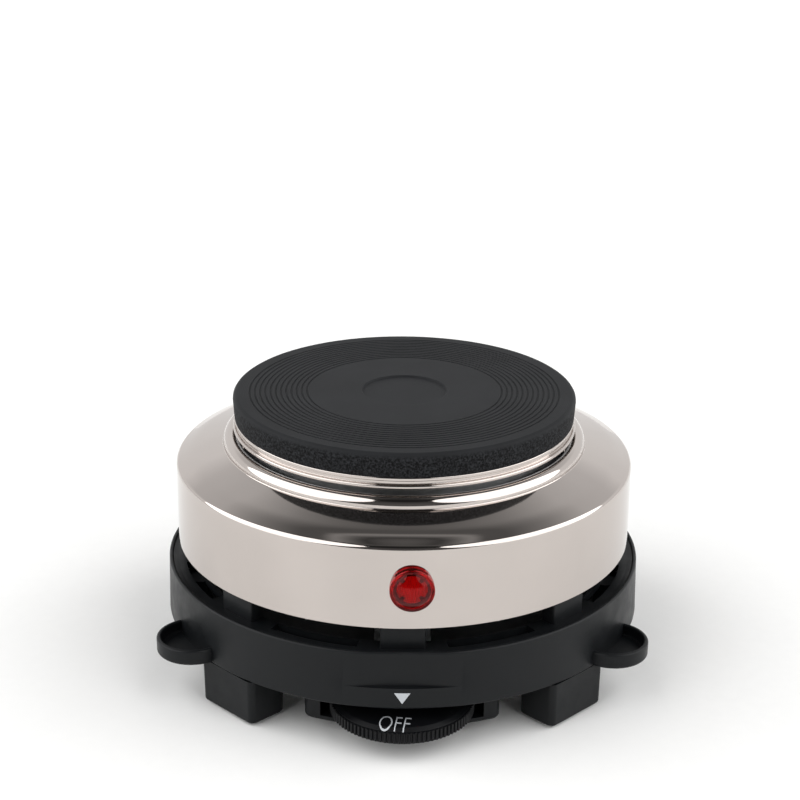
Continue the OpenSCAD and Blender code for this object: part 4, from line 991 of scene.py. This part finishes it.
class BURNER_OT_marks(bpy.types.Operator):
    """Printed marks: the word and numbers on the dial and the pointer on the base"""

    bl_idname = "burner.marks"
    bl_label = "Marks"

    def execute(self, context):
        sizes = context.scene.burner_sizes
        root, top, ink = DIAL_ROOT_R, DIAL_TOP, 0.04
        marks = [("OFF", sizes.word_width / MM, -7)]
        marks += [(str(k + 1), 0, -(80 + 50 * k)) for k in range(5)]
        height = sizes.word_height / MM
        middle_r = root - 0.3 - height / 2
        layers = []
        for text, width, turn in marks:
            bm = word(text, width, height)
            # Cuts across the sloping rim let the ink follow it
            for k in range(8):
                r = root - 1.9 + 0.25 * k
                bmesh.ops.bisect_plane(bm, geom=bm.verts[:] + bm.edges[:] + bm.faces[:],
                                       plane_co=(0, (middle_r - r) * MM, 0), plane_no=(0, 1, 0))
            bmesh.ops.triangulate(bm, faces=bm.faces)
            for v in bm.verts:
                spot = Vector((v.co.x / MM, v.co.y / MM - middle_r, 0))
                r = min(spot.length, root - 0.05)
                level = top - max(0, (r - root + DIAL_SLOPE_W) / DIAL_SLOPE_W * DIAL_SLOPE_H)
                spot = spot.normalized() * r
                v.co = Vector((spot.x, spot.y, level + ink)) * MM
            lower = bmesh.ops.extrude_face_region(bm, geom=bm.faces[:])
            bmesh.ops.translate(bm, vec=(0, 0, -2 * ink * MM),
                                verts=[g for g in lower["geom"] if isinstance(g, bmesh.types.BMVert)])
            bmesh.ops.recalc_face_normals(bm, faces=bm.faces)
            layers.append(turned(bm, math.radians(turn)))
        letters = join(layers)
        letters.transform(Matrix.Translation((0, DIAL_Y * MM, 0)))
        add_piece("dial_marks", in_order(letters), "print", body="dial", crease=50)

        # Pointer: a triangle printed on the wall under the flat, tip down
        half, z_high, z_low, steps = sizes.pointer / MM / 2, BASE_Z + 4.8, BASE_Z + 1.6, 12
        rows = []
        for k in range(steps + 1):
            x = half * (2 * k / steps - 1) * 0.999
            tip = z_high - (z_high - z_low) * (1 - abs(x) / half)
            front, back = (-math.sqrt((BASE_R + d) ** 2 - x * x) for d in (0.03, -0.15))
            rows.append([(x, front, tip), (x, front, z_high), (x, back, z_high), (x, back, tip)])
        add_piece("base_pointer", skin(rows, caps=True), "print", crease=50)
        return {"FINISHED"}


class BURNER_OT_stage(bpy.types.Operator):
    """Pale floor, soft studio lights and the camera"""

    bl_idname = "burner.stage"
    bl_label = "Stage"

    def execute(self, context):
        stage = context.scene.burner_stage
        scene = context.scene
        half_floor = 4.0
        sheet = bmesh.new()
        bmesh.ops.create_grid(sheet, x_segments=8, y_segments=8, size=half_floor)
        mesh = bpy.data.meshes.new("studio_floor")
        sheet.to_mesh(mesh)
        sheet.free()
        # Matt painted board: pale, with a very faint unevenness
        mesh.materials.append(grained("matt_painted_board", stage.floor, 0.0, 0.8, 4, 0.01, 0.02, 0.02))
        floor = bpy.data.objects.new("studio_floor", mesh)
        scene.collection.objects.link(floor)

        # Pale low walls that darken upwards, with two narrow bright bands near the top, and a dark front
        world = bpy.data.worlds.new("studio")
        scene.world = world
        world.use_nodes = True
        tree = world.node_tree
        place = add(tree, "ShaderNodeTexCoord")
        parts = add(tree, "ShaderNodeSeparateXYZ", None, {"Vector": (place, "Generated")})
        tones = [(0.0, 0.95), (0.4, 0.95), (0.5, 0.75), (0.66, 0.66), (0.79, 0.3), (0.88, 0.12), (0.915, 0.12),
                 (0.931, 0.34), (0.957, 0.06), (0.981, 0.25), (0.993, 0.08)]
        stops = [(where, (tone, tone, tone, 1)) for where, tone in tones]
        rise = add(tree, "ShaderNodeValToRGB", {"stops": stops}, {"Fac": (parts, "Z")})
        behind = add(tree, "ShaderNodeMapRange",
                     {"From Min": -0.25, "From Max": 0.3, "To Min": 0.12, "To Max": 1.0}, {"Value": (parts, "Y")})
        strength = add(tree, "ShaderNodeMath", {"operation": "MULTIPLY", 1: stage.room}, {0: (behind, "Result")})
        link(tree, tree.nodes["Background"], {"Color": (rise, "Color"), "Strength": (strength, 0)})

        for name, side in (("soft_left", -1), ("soft_right", 1)):
            lamp = bpy.data.lights.new(name, "SUN")
            lamp.energy, lamp.angle = stage.soft, stage.soft_angle
            obj = bpy.data.objects.new(name, lamp)
            shines = Vector((-side * 0.8, 0.25, -0.55))
            obj.rotation_euler = shines.to_track_quat("-Z", "Y").to_euler()
            scene.collection.objects.link(obj)

        pitch, roll = stage.camera_pitch, stage.camera_roll
        forward = Vector((0, math.cos(pitch), -math.sin(pitch)))
        level = Vector((1, 0, 0))
        up = level.cross(forward)
        right = level * math.cos(roll) + up * math.sin(roll)
        up = up * math.cos(roll) - level * math.sin(roll)
        target = Vector((-1.25, 0, 75.9)) * MM
        camera = bpy.data.cameras.new("camera")
        camera.sensor_width, camera.lens = 36, stage.camera_lens
        eye = bpy.data.objects.new("camera", camera)
        eye.matrix_world = Matrix.Translation(target - forward * stage.camera_distance) @ Matrix(
            (right, up, -forward)).transposed().to_4x4()
        scene.collection.objects.link(eye)
        scene.camera = eye
        scene.view_settings.view_transform = "Standard"
        return {"FINISHED"}


class BURNER_PT_panel(bpy.types.Panel):
    """Lists the burner's pieces, sizes and colours."""

    bl_idname = "BURNER_PT_panel"
    bl_label = "Hot plate burner"
    bl_space_type = "VIEW_3D"
    bl_region_type = "UI"
    bl_category = "Burner"

    def draw(self, context):
        layout = self.layout
        for step in STEPS:
            layout.operator(step.bl_idname)
        for group in (context.scene.burner_sizes, context.scene.burner_colours, context.scene.burner_stage):
            column = layout.column()
            for name in group.__annotations__:
                column.prop(group, name)


STEPS = (BURNER_OT_finishes, BURNER_OT_stage, BURNER_OT_cast_plate, BURNER_OT_trim_ring, BURNER_OT_steel_drum,
         BURNER_OT_pilot_lamp, BURNER_OT_base_moulding, BURNER_OT_bottom_moulding, BURNER_OT_dial, BURNER_OT_marks)
CLASSES = (BurnerSizes, BurnerColours, BurnerStage, *STEPS, BURNER_PT_panel)


def register():
    for item in CLASSES:
        bpy.utils.register_class(item)
    bpy.types.Scene.burner_sizes = PointerProperty(type=BurnerSizes)
    bpy.types.Scene.burner_colours = PointerProperty(type=BurnerColours)
    bpy.types.Scene.burner_stage = PointerProperty(type=BurnerStage)


def unregister():
    del bpy.types.Scene.burner_sizes
    del bpy.types.Scene.burner_colours
    del bpy.types.Scene.burner_stage
    for item in reversed(CLASSES):
        bpy.utils.unregister_class(item)


def main():
    """Registers the add-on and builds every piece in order."""
    register()
    for step in STEPS:
        group, name = step.bl_idname.split(".")
        getattr(getattr(bpy.ops, group), name)()


if __name__ == "__main__":
    main()
